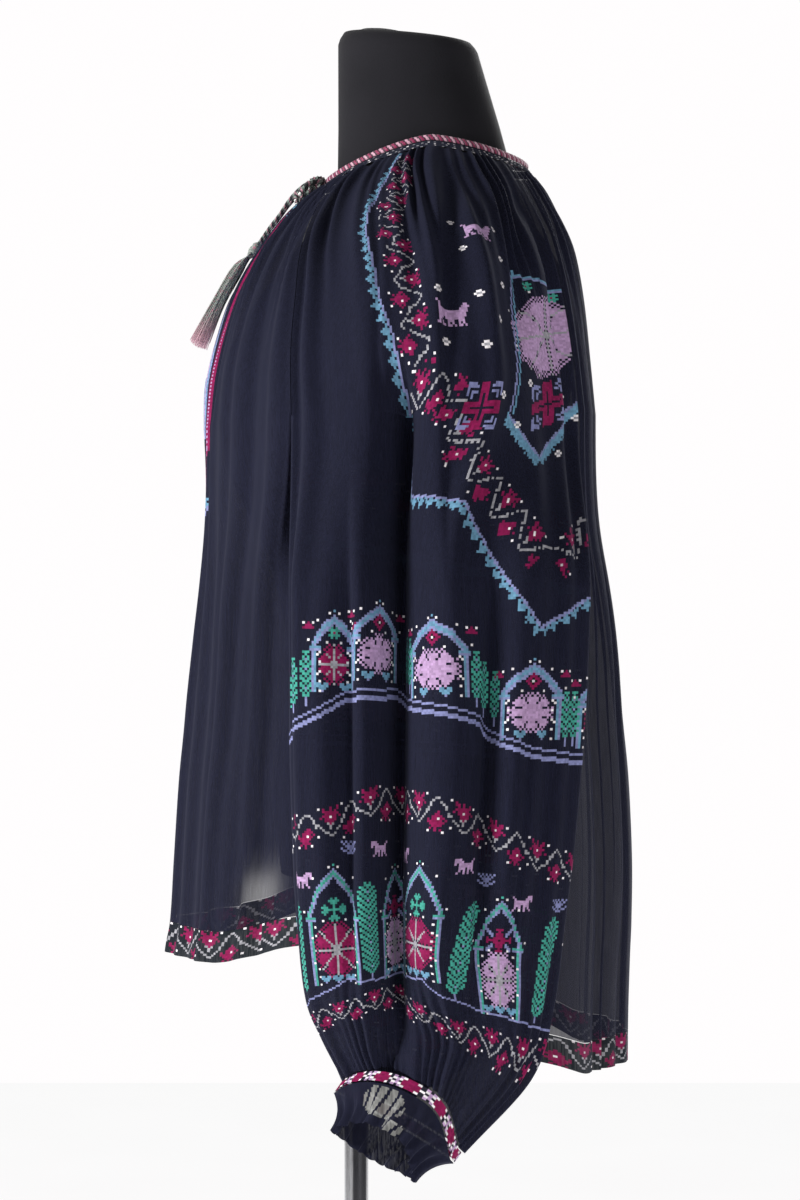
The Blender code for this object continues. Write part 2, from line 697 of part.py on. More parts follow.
def tassel(name, top, before, sign):
    """A knotted head with strands that fan out over the front."""
    down = top - before
    down = down / np.linalg.norm(down)
    side = np.array((1.0, 0.0, 0.0))
    out = np.cross(side, down)
    bm = bmesh.new()
    rings = ((0.0004, 0.0014), (0.0016, 0.0030), (0.0040, 0.0038), (0.0070, 0.0038), (0.0095, 0.0034))
    loops = []
    for along, radius in rings:
        ring = []
        for k in range(STRANDS):
            t = 2 * np.pi * k / STRANDS
            p = top + down * along + side * radius * np.cos(t) + out * radius * np.sin(t)
            ring.append(bm.verts.new((sign * p[0], p[1], p[2])))
        loops.append(ring)
    for a, b in zip(loops, loops[1:]):
        for i in range(STRANDS):
            bm.faces.new((a[i], a[(i + 1) % STRANDS], b[(i + 1) % STRANDS], b[i]))
    bm.faces.new(loops[0])
    base = loops[-1]
    hub = top + down * 0.0095
    centre = bm.verts.new((sign * hub[0], hub[1], hub[2]))
    for k in range(STRANDS):
        t = 2 * np.pi * (k + 0.5) / STRANDS
        previous = (base[k], base[(k + 1) % STRANDS], centre)
        for n, (level, over, wide, high) in enumerate(STRAND_ROWS):
            c = tie_point(top[0], over, level)
            ahead = tie_point(top[0], over, level + 0.02) - c
            normal = np.cross(side, ahead / np.linalg.norm(ahead))
            spread = side * np.cos(t) * wide + normal * np.sin(t) * high
            turn = side * -np.sin(t) * wide + normal * np.cos(t) * high
            turn = turn / np.linalg.norm(turn)
            inward = -spread / np.linalg.norm(spread)
            middle = c + spread
            corners = (middle - turn * STRAND_RADIUS, middle + turn * STRAND_RADIUS,
                       middle + inward * STRAND_RADIUS * 1.6)
            ring = [bm.verts.new((sign * p[0], p[1], p[2])) for p in corners]
            for q in range(3):
                bm.faces.new((previous[q], previous[(q + 1) % 3], ring[(q + 1) % 3], ring[q]))
            previous = ring
        bm.faces.new(previous)
    bmesh.ops.recalc_face_normals(bm, faces=bm.faces)
    add_object(name, bm, TIE_GREY)


def dress_form():
    """The padded torso with its neck, flat underneath and sloped on top."""
    rings = []
    for z, half, yf, yb in FORM:
        ring = []
        for k in range(28):
            t = 2 * np.pi * k / 28
            c, s = power(np.cos(t), 0.9), power(np.sin(t), 0.9)
            y = (yf + yb) / 2 - (yb - yf) / 2 * c
            tilt = 0.0045 * max(0.0, (z - 1.49) / 0.03) * c
            ring.append((half * s, y, z + tilt))
        rings.append(ring)
    return loft("dress_form_torso", rings, JERSEY)


def turned(name, profile, centre, look, sides=32):
    """A turned solid from rows of radius and height."""
    rings = []
    for radius, z in profile:
        ring = []
        for k in range(sides):
            t = 2 * np.pi * k / sides
            ring.append((centre[0] + radius * np.cos(t), centre[1] + radius * np.sin(t), z))
        rings.append(ring)
    return loft(name, rings, look)


def stand():
    """Neck cap, collar, pole and base."""
    cap = []
    for radius, z in ((0.0225, 1.5221), (0.0215, 1.5246), (0.016, 1.5268), (0.008, 1.5280)):
        ring = []
        for k in range(20):
            t = 2 * np.pi * k / 20
            y = 0.021 + radius * np.sin(t)
            slope = -0.089 * (y - 0.021)
            ring.append((radius * 0.9 * np.cos(t), y, z + slope))
        cap.append(ring)
    loft("neck_cap", cap, JERSEY)
    top = FORM_BOTTOM_Z - 0.0003
    turned("pole_collar", ((0.026, top - 0.012), (0.030, top - 0.009), (0.030, top)), (0, 0), STEEL)
    turned("pole", ((POLE_RADIUS, BASE_HIGH + 0.0003), (POLE_RADIUS, top - 0.0123)), (0, 0), STEEL)
    r = BASE_RADIUS
    turned("base_plate", ((r - 0.002, 0.0), (r, 0.002), (r, BASE_HIGH - 0.002), (r - 0.003, BASE_HIGH)),
           (0, 0), STEEL, 48)


for old in list(bpy.data.objects):
    bpy.data.objects.remove(old)
parts = bpy.data.collections.new("peasant_blouse_on_dress_form")
bpy.context.scene.collection.children.link(parts)
cutters = bpy.data.collections.new("cutters")
bpy.context.scene.collection.children.link(cutters)

front_panel()
back_panel()
hem_bands()
for side, mirror in (("left", False), ("right", True)):
    cloth("sleeve_" + side, sleeve_patches(), NAVY, mirror)
    cuffs(side, mirror)
    tie(side, mirror)
neck_band()
neck_binding()
dress_form()
stand()
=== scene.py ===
"""Embroidered gauze blouse with balloon sleeves on a limbless dress form."""
import math

import bmesh
import bpy
import numpy as np
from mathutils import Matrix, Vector


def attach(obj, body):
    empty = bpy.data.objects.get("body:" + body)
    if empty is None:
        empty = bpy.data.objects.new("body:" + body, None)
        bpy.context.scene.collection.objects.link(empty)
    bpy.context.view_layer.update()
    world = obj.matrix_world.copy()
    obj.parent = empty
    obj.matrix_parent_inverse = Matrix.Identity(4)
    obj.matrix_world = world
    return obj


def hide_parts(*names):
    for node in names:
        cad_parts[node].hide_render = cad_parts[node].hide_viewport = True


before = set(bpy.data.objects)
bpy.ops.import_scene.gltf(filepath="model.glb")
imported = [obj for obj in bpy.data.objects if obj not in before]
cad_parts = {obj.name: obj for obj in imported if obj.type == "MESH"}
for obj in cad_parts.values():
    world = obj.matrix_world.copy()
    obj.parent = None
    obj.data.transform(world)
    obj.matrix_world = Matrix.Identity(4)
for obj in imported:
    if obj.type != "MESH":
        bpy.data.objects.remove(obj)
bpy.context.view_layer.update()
scene = bpy.context.scene


# Camera, level with the blouse and square to the wearer's left side, as in the photograph.
CAMERA_AWAY = 3.2
METRES_A_PIXEL = 0.00078
camera = bpy.data.objects.new("camera", bpy.data.cameras.new("camera"))
camera.location = (CAMERA_AWAY, 0.034, 1.083)
camera.rotation_euler = (math.radians(90), 0, math.radians(90))
camera.data.lens = 36 * CAMERA_AWAY / (1200 * METRES_A_PIXEL)
scene.collection.objects.link(camera)
scene.camera = camera


# Tie cords: three-strand braids of grey-green, black and pink cotton that leave the ends of the neck
# binding and hang over the front yoke to a tassel each. The panels' form is given here, since they lie on it.

# Yoke, from the neck (0) to the underarm (1): level, front y and z, side x, y and z, back y and z, and the
# angles of the front and rear raglan seams, counted from the centre front.
YOKE = (
    (0.00, -0.0245, 1.4060, 0.066, 0.058, 1.4340, 0.1340, 1.4180, 43, 137),
    (0.15, -0.0515, 1.3835, 0.100, 0.058, 1.4165, 0.1480, 1.3980, 44, 138),
    (0.30, -0.0730, 1.3560, 0.135, 0.058, 1.3960, 0.1610, 1.3710, 46, 140),
    (0.50, -0.0905, 1.3250, 0.176, 0.060, 1.3670, 0.1695, 1.3400, 48, 142),
    (0.67, -0.1020, 1.2940, 0.208, 0.062, 1.3300, 0.1755, 1.3060, 50, 144),
    (0.84, -0.1115, 1.2550, 0.233, 0.064, 1.2800, 0.1800, 1.2650, 51, 146),
    (1.00, -0.1155, 1.2160, 0.248, 0.066, 1.2220, 0.1840, 1.2250, 52, 147),
)
# Body below the underarm: height, front y, back y, half width.
BODY = (
    (0.700, -0.1470, 0.2065, 0.196),
    (0.762, -0.1465, 0.2070, 0.195),
    (0.811, -0.1450, 0.2085, 0.194),
    (0.834, -0.1410, 0.2095, 0.193),
    (0.882, -0.1380, 0.2100, 0.190),
    (0.944, -0.1340, 0.2075, 0.187),
    (0.985, -0.1300, 0.2050, 0.184),
    (1.030, -0.1265, 0.2030, 0.180),
    (1.098, -0.1220, 0.1990, 0.176),
    (1.150, -0.1185, 0.1910, 0.172),
    (1.216, -0.1155, 0.1840, 0.168),
)
# Folds: angle, half width, depth, first and last level, where 2 is the hem.
PANEL_FOLDS = (
    (14, 5, -0.004, 0.10, 1.10),
    (26, 5, 0.003, 0.15, 1.50),
    (36, 5, -0.005, 0.20, 1.80),
    (20, 6, -0.006, 1.10, 2.20),
    (50, 7, -0.008, 1.20, 2.20),
    (66, 7, 0.003, 1.30, 2.20),
    (8, 5, 0.003, 1.30, 2.20),
    (172, 5, -0.003, 0.15, 1.60),
    (160, 6, 0.003, 0.20, 1.90),
    (150, 7, -0.007, 1.20, 2.20),
    (130, 7, 0.003, 1.30, 2.20),
    (112, 7, -0.005, 1.30, 2.20),
    (176, 5, 0.002, 1.30, 2.20),
)
BODY_MIDDLE_Y = 0.050
UNDERARM_Z = 1.206
HANDS = (("left", 1), ("right", -1))
FRONT_HEM_Z = 0.811
BACK_HEM_Z = 0.728
SIDE_HEM_RISE = 0.020
BINDING_WIDE = 0.005
BINDING_THICK = 0.0022
CORD_RADIUS = 0.0013
# The tie's way, and on through its tassel: x, height over the yoke, level.
TIE = (
    (0.0100, 0.0085, 0.030),
    (0.0140, 0.0095, 0.060),
    (0.0155, 0.0090, 0.100),
    (0.0130, 0.0074, 0.140),
    (0.0100, 0.0056, 0.180),
    (0.0090, 0.0052, 0.220),
    (0.0090, 0.0050, 0.255),
    (0.0090, 0.0051, 0.290),
)
TIE_CORE = ((0.0090, 0.0060, 0.345), (0.0090, 0.0060, 0.400), (0.0090, 0.0064, 0.510))


def row(table, key):
    """Columns of a table at any keys, smoothly between its rows."""
    rows = np.array(table, float)
    keys = rows[:, 0]
    last = len(keys) - 1
    key = np.atleast_1d(np.asarray(key, float))
    i = np.clip(np.searchsorted(keys, key) - 1, 0, last - 1)
    a, b = np.maximum(i - 1, 0), np.minimum(i + 2, last)
    span = (keys[i + 1] - keys[i])[:, None]
    t = np.clip((key - keys[i])[:, None] / span, 0, 1)
    m0 = (rows[i + 1] - rows[a]) / (keys[i + 1] - keys[a])[:, None] * span
    m1 = (rows[b] - rows[i]) / (keys[b] - keys[i])[:, None] * span
    h = 2 * t**3 - 3 * t**2
    return ((h + 1) * rows[i] + (t**3 - 2 * t**2 + t) * m0 - h * rows[i + 1] + (t**3 - t**2) * m1).T


def step(t):
    """Smooth step from 0 to 1."""
    t = np.clip(t, 0, 1)
    return t * t * (3 - 2 * t)


def power(value, p):
    """A power that keeps the sign."""
    return np.sign(value) * np.abs(value) ** p


def spots(x, y, z):
    """Points from their three coordinates."""
    return np.stack(np.broadcast_arrays(x, y, z), axis=-1).astype(float)


def folds(table, place, level):
    """Depth of the folds at a place and level, each fading out at its two ends."""
    total = 0.0
    for centre, wide, depth, first, last in table:
        fade = step((level - first) / 0.25) * step((last - level) / 0.25 + (last >= 2.0))
        total = total + depth * fade * np.exp(-(((place - centre) / wide) ** 2))
    return total


def yoke_base(level, angle):
    """The yoke without folds: a cape over the shoulders."""
    _, yf, zf, xs, ys, zs, yb, zb, _, _ = row(YOKE, level)
    c, s = np.cos(np.radians(angle)), np.sin(np.radians(angle))
    ye, ze = np.where(c > 0, yf, yb), np.where(c > 0, zf, zb)
    return spots(xs * s, ys + (ye - ys) * abs(c), zs + (ze - zs) * abs(c) ** 1.4)


def body_base(angle, z):
    """The body below the underarm without folds."""
    _, yf, yb, half = row(BODY, z)
    c, s = np.cos(np.radians(angle)), np.sin(np.radians(angle))
    ye = np.where(c > 0, yf, yb)
    return spots(half * power(s, 0.9), BODY_MIDDLE_Y + (ye - BODY_MIDDLE_Y) * power(abs(c), 0.9), z)


def seam_angles(level):
    """Angles of the front and rear raglan seams."""
    return row(YOKE, np.minimum(level, 1.0))[8:10]


def top_line(angle):
    """Top edge of the lower body, dipping under the arm between the two raglan seams, and its hold."""
    front, rear = seam_angles(1.0)
    a = np.abs(angle)
    yoke = yoke_base(1.0, angle)
    under = body_base(angle, UNDERARM_Z)
    away = np.clip(np.where(a <= 90, (a - front) / (90 - front), (rear - a) / (rear - 90)), 0, 1)
    keep = (1 - away) ** np.where(a <= 90, 2.25, 4.2)
    return under + (yoke - under) * keep[:, None], keep


def hem_z(angle):
    """Height of the hem: short front, long back, a little higher towards the side vents."""
    a = np.abs(angle)
    side = np.sin(np.radians(np.where(a < 90, a, 180 - a)))
    return np.where(a < 90, FRONT_HEM_Z, BACK_HEM_Z) + SIDE_HEM_RISE * step((side - 0.6) / 0.4)


def panel_base(level, angle):
    """A point of the front or back panel without folds, at a level from neck (0) to hem (2)."""
    level, angle = np.broadcast_arrays(np.atleast_1d(level).astype(float), angle)
    yoke = yoke_base(np.minimum(level, 1.0), angle)
    top, keep = top_line(angle)
    down = level - 1
    z = top[:, 2] + (hem_z(angle) - top[:, 2]) * down
    inner = body_base(angle, z)
    keep = (keep * (1 - step(down / 0.4)))[:, None]
    lower = np.concatenate((inner[:, :2] + (top[:, :2] - inner[:, :2]) * keep, z[:, None]), axis=1)
    return np.where((level < 1)[:, None], yoke, lower)


def lifted(base, level, angle, amount):
    """Points of a base surface moved along its outward normal."""
    e = 0.004
    down = base(level + e, angle) - base(np.where(level > 0.01, level - e, level), angle)
    turn = base(level, angle + 0.6) - base(level, angle - 0.6)
    n = np.cross(down, turn)
    n /= np.linalg.norm(n, axis=1)[:, None]
    return base(level, angle) + n * np.reshape(amount, (-1, 1))


def neck_fade(level):
    """How strongly the neck gathers show at a level."""
    return (0.45 + 0.55 * step(level / 0.16)) * (1 - step((level - 0.35) / 0.55))


def panel_point(level, angle, extra=0.0):
    """A finished point of the front or back panel, with extra relief outwards."""
    level, angle = np.broadcast_arrays(np.atleast_1d(level).astype(float), angle)
    a = np.abs(angle)
    front, rear = seam_angles(level)
    seam = np.minimum(abs(a - front), abs(a - rear))
    near = step(seam / 8) + (1 - step(seam / 8)) * step((level - 1) / 0.15)
    near = np.where(level <= 1.15, near, 1.0)
    amount = folds(PANEL_FOLDS, a, level) * near
    amount += 0.005 * np.exp(-((a / 5) ** 2)) * step((level - 0.3) / 0.3) * step((1.15 - level) / 0.3)
    found = lifted(panel_base, level, a, amount + extra)
    found[:, 0] *= np.where(angle < 0, -1.0, 1.0)
    return found


def neck_frame(angle, level=0.0):
    """Points on the yoke with their upward and outward directions."""
    a = np.where(angle <= 180, angle, angle - 360)
    p = panel_point(level, a)
    up = p - panel_point(level + 0.05, a)
    up = up / np.linalg.norm(up, axis=1)[:, None] * 0.35 + np.array((0, 0, 0.9))
    up /= np.linalg.norm(up, axis=1)[:, None]
    turn = panel_point(level, np.where(a + 0.5 <= 180, a + 0.5, a - 359.5)) - panel_point(level, a - 0.5)
    out = np.cross(turn, up)
    return p, up, out / np.linalg.norm(out, axis=1)[:, None]


def tie_point(x, over, level):
    """A point over the front of the yoke."""
    angle = np.degrees(np.arcsin(x / row(YOKE, level)[3]))
    return lifted(panel_base, np.atleast_1d(level).astype(float), angle, over)[0]


class Value:
    """A shader socket in Python expressions: each operator adds its Math node."""

    def __init__(self, tree, socket=None):
        self.tree = tree
        self.socket = socket

    def node(self, kind, settings=None, inputs=None, output=0):
        """Any node: its type, its settings, the values or links of its sockets, and the output used."""
        n = self.tree.nodes.new(kind)
        for key, value in (settings or {}).items():
            setattr(n, key, value)
        for key, value in (inputs or {}).items():
            if isinstance(value, Value):
                self.tree.links.new(value.socket, n.inputs[key])
            else:
                n.inputs[key].default_value = value
        return Value(self.tree, n.outputs[output] if n.outputs else None)

    def math(self, operation, *terms):
        return self.node("ShaderNodeMath", {"operation": operation}, dict(enumerate(terms)))

    def __add__(self, other):
        return self.math("ADD", self, other)

    def __sub__(self, other):
        return self.math("SUBTRACT", self, other)

    def __rsub__(self, other):
        return self.math("SUBTRACT", other, self)

    def __mul__(self, other):
        return self.math("MULTIPLY", self, other)

    def __truediv__(self, other):
        return self.math("DIVIDE", self, other)

    __radd__ = __add__
    __rmul__ = __mul__

    def sine(self):
        return self.math("SINE", self)

    def fraction(self):
        return self.math("FRACT", self)

    def distance(self, other):
        return self.math("ABSOLUTE", self - other)

    def lesser(self, other):
        return self.math("MINIMUM", self, other)

    def above(self, low, high):
        """0 below one value and 1 above the other, smoothly between."""
        return self.node("ShaderNodeMapRange", {"interpolation_type": "SMOOTHSTEP"},
                         {0: self, 1: low, 2: high, 3: 0.0, 4: 1.0})

    def mixed(self, first, second):
        """A colour between two, by this factor."""
        return self.node("ShaderNodeMix", {"data_type": "RGBA"}, {0: self, 6: first, 7: second}, 2)

    def noise(self, vector, scale, detail=2.0):
        return self.node("ShaderNodeTexNoise", None, {"Vector": vector, "Scale": scale, "Detail": detail})

    def along(self, axis):
        """One coordinate of a vector: 0, 1 or 2."""
        return self.node("ShaderNodeSeparateXYZ", None, {0: self}, axis)

    def spot(self):
        """Coordinates on the piece itself."""
        return self.node("ShaderNodeTexCoord", None, None, 3)

    def cells(self):
        """Coordinates in the piece's own grid, one unit to a cell: across and down."""
        cells = self.node("ShaderNodeUVMap", {"uv_map": "cells"})
        return cells.along(0), cells.along(1)

    def stretched(self, vector, upright):
        """Coordinates for a pattern drawn out upright."""
        return self.node("ShaderNodeMapping", None, {"Vector": vector, "Scale": (1.0, 1.0, upright)})


def finish(name, roughness=0.8, **fixed):
    """A new material with its constants set, as a Value to build on and the shader node."""
    made = bpy.data.materials.new(name)
    made.use_nodes = True
    shader = made.node_tree.nodes["Principled BSDF"]
    shader.inputs["Roughness"].default_value = roughness
    for key, value in fixed.items():
        shader.inputs[key.replace("_", " ")].default_value = value
    return made, Value(made.node_tree), shader


def feed(shader, socket, value):
    """Links a value to one socket of the shader."""
    value.tree.links.new(value.socket, shader.inputs[socket])


def raised(start, height, distance, strength=1.0):
    """A Bump node on a height in the unit of the distance."""
    return start.node("ShaderNodeBump", None, {"Height": height, "Distance": distance, "Strength": strength})


shades = np.random.default_rng(11)
SHADE = 0.22
MERGE = 0.00003


def grid(columns, rows, place, stitches=None, other_way=False):
    """A mesh of stitches: place(across, down) gives the point of each crossing, both running from 0 to 1."""
    bm = bmesh.new()
    bmesh.ops.create_grid(bm, x_segments=columns, y_segments=rows, size=1)
    if other_way:
        bmesh.ops.reverse_faces(bm, faces=bm.faces)
    mesh = bpy.data.meshes.new("grid")
    bm.to_mesh(mesh)
    bm.free()
    flat = np.empty(len(mesh.vertices) * 3)
    mesh.vertices.foreach_get("co", flat)
    across, down = (flat.reshape(-1, 3)[:, :2].T + 1) / 2
    mesh.vertices.foreach_set("co", place(across, down).ravel())
    corner = np.empty(len(mesh.loops), dtype=np.int32)
    mesh.loops.foreach_get("vertex_index", corner)
    uv = np.stack((across[corner] * columns, down[corner] * rows), axis=1)
    mesh.uv_layers.new(name="cells").data.foreach_set("uv", uv.ravel())
    thread = mesh.color_attributes.new("thread", "FLOAT_COLOR", "CORNER")
    colours = np.zeros((len(corner), 4))
    if stitches is not None:
        middle = uv.reshape(-1, 4, 2).mean(axis=1).astype(int)
        colours = stitches[middle[:, 1], middle[:, 0]]
        shade = 1 + colours[:, 3:] * shades.uniform(-SHADE, SHADE, (len(colours), 1))
        colours = np.repeat(np.hstack((colours[:, :3] * shade, colours[:, 3:])), 4, axis=0)
    thread.data.foreach_set("color", colours.ravel())
    return mesh


def piece(name, meshes, made):
    """One object from meshes that share their edges, with its material. The ends of tubes are closed."""
    bm = bmesh.new()
    for mesh in meshes:
        bm.from_mesh(mesh)
    bmesh.ops.remove_doubles(bm, verts=bm.verts, dist=MERGE)
    bmesh.ops.holes_fill(bm, edges=bm.edges, sides=16)
    whole = bpy.data.meshes.new(name)
    bm.to_mesh(whole)
    bm.free()
    for mesh in meshes:
        bpy.data.meshes.remove(mesh)
    whole.shade_smooth()
    whole.materials.append(made)
    obj = bpy.data.objects.new(name, whole)
    scene.collection.objects.link(obj)
    return obj


def tube(path, sides, radius):
    """A closed tube along points, its radius given for places round (0 to 1) and along (0 to 1)."""
    path = np.array(path)
    ahead = np.gradient(path, axis=0)
    ahead /= np.linalg.norm(ahead, axis=1)[:, None]
    side = np.cross(ahead, (1.0, 0.2, 0.1))
    side /= np.linalg.norm(side, axis=1)[:, None]
    over = np.cross(ahead, side)

    def place(across, down):
        i = np.rint(down * (len(path) - 1)).astype(int)
        t = 2 * np.pi * across
        r = np.reshape(radius(across, down), (-1, 1))
        return path[i] + (side[i] * np.cos(t)[:, None] + over[i] * np.sin(t)[:, None]) * r
    return grid(sides, len(path) - 1, place)


def spline(keys, parts):
    """Points of a smooth line through keys."""
    keys = np.array(keys)
    found = []
    for i in range(len(keys) - 1):
        a, b, c, d = keys[max(i - 1, 0)], keys[i], keys[i + 1], keys[min(i + 2, len(keys) - 1)]
        for t in np.arange(parts) / parts:
            found.append(0.5 * (2 * b + (c - a) * t + (2 * a - 5 * b + 4 * c - d) * t**2
                                + (3 * b - a - 3 * c + d) * t**3))
    found.append(keys[-1])
    return np.array(found)


# The braid shows slanting turns of three cottons, with a white bead here and there.
braid, start, shader = finish("tie_braid", 0.75, Sheen_Weight=0.25)
u, v = start.cells()
turn = (v / 7.0 + u / 10.0).fraction()
colour = turn.above(0.30, 0.36).mixed((0.20, 0.25, 0.22, 1), (0.012, 0.012, 0.015, 1))
colour = turn.above(0.78, 0.84).mixed(colour, (0.42, 0.20, 0.25, 1))
bead = 1 - (v / 23.0).fraction().distance(0.5).above(0.03, 0.06)
bead = bead * (1 - (u / 10.0).distance(0.4).above(0.12, 0.2))
colour = bead.mixed(colour, (0.85, 0.83, 0.80, 1))
feed(shader, "Base Color", colour)
feed(shader, "Normal", raised(start, (turn * 3).fraction().distance(0.5) + bead, 0.0004, 0.7))

TIE_ANGLE = 6.0
BINDING_LIFT = 0.0006
ROLL = 1.15
mid, up, out = (found[0] for found in neck_frame(np.array([TIE_ANGLE])))
tie_start = mid + up * (BINDING_LIFT + BINDING_WIDE / 2) + out * (BINDING_THICK / 2 * ROLL - 0.0002)
tie_keys = [tie_start, tie_start + out * 0.0030 - up * 0.0004] + [tie_point(*r) for r in TIE]
tie_line = spline(tie_keys, 12)
core_line = spline(tie_keys + [tie_point(*r) for r in TIE_CORE], 12)
tie_length = float(np.linalg.norm(np.diff(core_line, axis=0), axis=1).sum())


# Tassels: a knotted head on each tie's end, with thin cotton strands bound into it. They fan out over
# the front and turn from grey-green to pink at their tips.

# The fan of strands: level, height over the yoke, half width, half depth.
STRAND_ROWS = (
    (0.42, 0.0090, 0.0052, 0.0036),
    (0.58, 0.0120, 0.0062, 0.0044),
    (0.74, 0.0170, 0.0088, 0.0074),
)
STRAND_COUNT = 60
STRAND_THIN = 0.00042
GOLDEN_TURN = 2.39996
strand_cotton, start, shader = finish("tassel_cotton", 0.8, Sheen_Weight=0.3)
where = start.spot()
high = where.along(2)
mottle = start.noise(where, 700.0)
colour = mottle.above(0.42, 0.58).mixed((0.16, 0.20, 0.18, 1), (0.32, 0.34, 0.31, 1))
colour = start.noise(where, 380.0).above(0.58, 0.66).mixed(colour, (0.40, 0.17, 0.22, 1))
colour = (1 - high.above(1.283, 1.312)).mixed(colour, (0.44, 0.24, 0.29, 1))
feed(shader, "Base Color", colour)
feed(shader, "Normal", raised(start, mottle, 0.0003, 0.5))


def tassel(name, sign):
    """The head and strands of one tassel."""
    top, before = tie_line[-1], tie_line[-5]
    down = (top - before) / np.linalg.norm(top - before)
    side = np.array((1.0, 0.0, 0.0))
    out = np.cross(side, down)
    profile = ((0.0, 0.0010), (0.0010, 0.0022), (0.0028, 0.0034), (0.0046, 0.0031), (0.0062, 0.0036),
               (0.0085, 0.0037), (0.0100, 0.0030))
    head = [top + down * along for along, _ in profile]
    radii = np.array([r for _, r in profile])
    meshes = [tube(head, 16, lambda across, down: radii[np.rint(down * 6).astype(int)])]
    hub = top + down * 0.0090
    for k in range(STRAND_COUNT):
        t = GOLDEN_TURN * k
        reach = math.sqrt((k + 0.5) / STRAND_COUNT)
        first = hub + (side * math.cos(t) * 0.0030 + out * math.sin(t) * 0.0028) * reach
        keys = [first]
        for n, (level, over, wide, deep) in enumerate(STRAND_ROWS):
            x = top[0] + math.cos(t) * wide * reach * 1.1 + 0.0008 * math.sin(3 * k + n)
            uneven = 0.012 * math.sin(5.1 * k) * (n == 2)
            keys.append(tie_point(x, over + math.sin(t) * deep * reach, level - uneven))
        meshes.append(tube(spline(keys, 4), 4, lambda across, down: STRAND_THIN * (1 - 0.4 * down)))
    obj = piece(name, meshes, strand_cotton)
    obj.data.transform(((sign, 0, 0, 0), (0, 1, 0, 0), (0, 0, 1, 0), (0, 0, 0, 1)))
    if sign < 0:
        obj.data.flip_normals()
    return obj


def dressed(obj, node):
    """Puts a piece in the place of its CAD node, on the stand's one body."""
    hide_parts(node)
    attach(obj, "root")


# Loops of the bow: first and last point of the cord that each spans, height, and place aside.
BOW_LOOPS = ((2, 46, 0.0034, 0.004), (3, 30, 0.0060, -0.002), (40, 52, 0.0026, 0.001))
LOOP_LIFT = 0.0046
BRAID_TURN = 0.006
twist = 5 * np.pi * tie_length / BRAID_TURN


def plaited(across, down):
    """Radius of three strands that turn about each other, thinner inside the tassel."""
    thin = 1 - 0.45 * step((down - 0.80) / 0.05)
    strand = np.abs(np.cos(1.5 * (2 * np.pi * across + twist * down)))
    return CORD_RADIUS * 1.04 * thin * (0.80 + 0.20 * strand)


def looped(across, down):
    return 0.0020 + 0.0005 * np.cos(2 * np.pi * (22 * down + across))


for hand, sign in HANDS:
    line = core_line * (sign, 1, 1)
    ahead = np.gradient(line, axis=0)
    over = np.cross((1.0, 0.0, 0.0), ahead / np.linalg.norm(ahead, axis=1)[:, None])
    t = np.linspace(0, 2 * np.pi, 65)
    loops = []
    for first, last, high, aside in BOW_LOOPS:
        at = first + (last - first) * (1 - np.cos(t)) / 2
        ring = np.stack([np.interp(at, np.arange(len(line)), line[:, k]) for k in range(3)], axis=1)
        lift = np.stack([np.interp(at, np.arange(len(line)), over[:, k]) for k in range(3)], axis=1)
        ring = ring + lift * (LOOP_LIFT + high * np.sin(t))[:, None]
        ring[:, 0] += sign * aside * np.sin(t / 2)
        loops.append(tube(ring, 8, looped))
    cord = piece("tie_" + hand, [tube(line, 12, plaited)], braid)
    bow = piece("tie_bow_" + hand, loops, braid)
    end = tassel("tie_tassel_" + hand, sign)
    dressed(cord, "tie_cord_" + hand)
    dressed(end, "tassel_" + hand)
    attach(bow, "root")


# Cross-stitch threads and the way of working them: a canvas holds one thread colour for each stitch. Charts
# are short repeats in letters, borders run along a line, and filled motifs are worked from their outline.
THREADS = {
    "b": (0.125, 0.275, 0.400),
    "v": (0.210, 0.225, 0.420),
    "l": (0.430, 0.280, 0.470),
    "m": (0.215, 0.007, 0.064),
    "t": (0.050, 0.305, 0.240),
    "w": (0.780, 0.740, 0.760),
    "g": (0.310, 0.305, 0.330),
    "k": (0.006, 0.007, 0.008),
}


def stitch(work, column, row_, thread):
    """One cross stitch."""
    c, r = int(math.floor(column + 0.5)), int(math.floor(row_ + 0.5))
    if 0 <= r < work.shape[0] and 0 <= c < work.shape[1]:
        work[r, c] = (*THREADS[thread], 1.0)


def chart(work, lines, column, row_, turned=False):
    """A small motif from its chart, centred on a stitch."""
    for i, line in enumerate(lines):
        for j, thread in enumerate(line[::-1] if turned else line):
            if thread != ".":
                stitch(work, column + j - len(line) // 2, row_ + i - len(lines) // 2, thread)


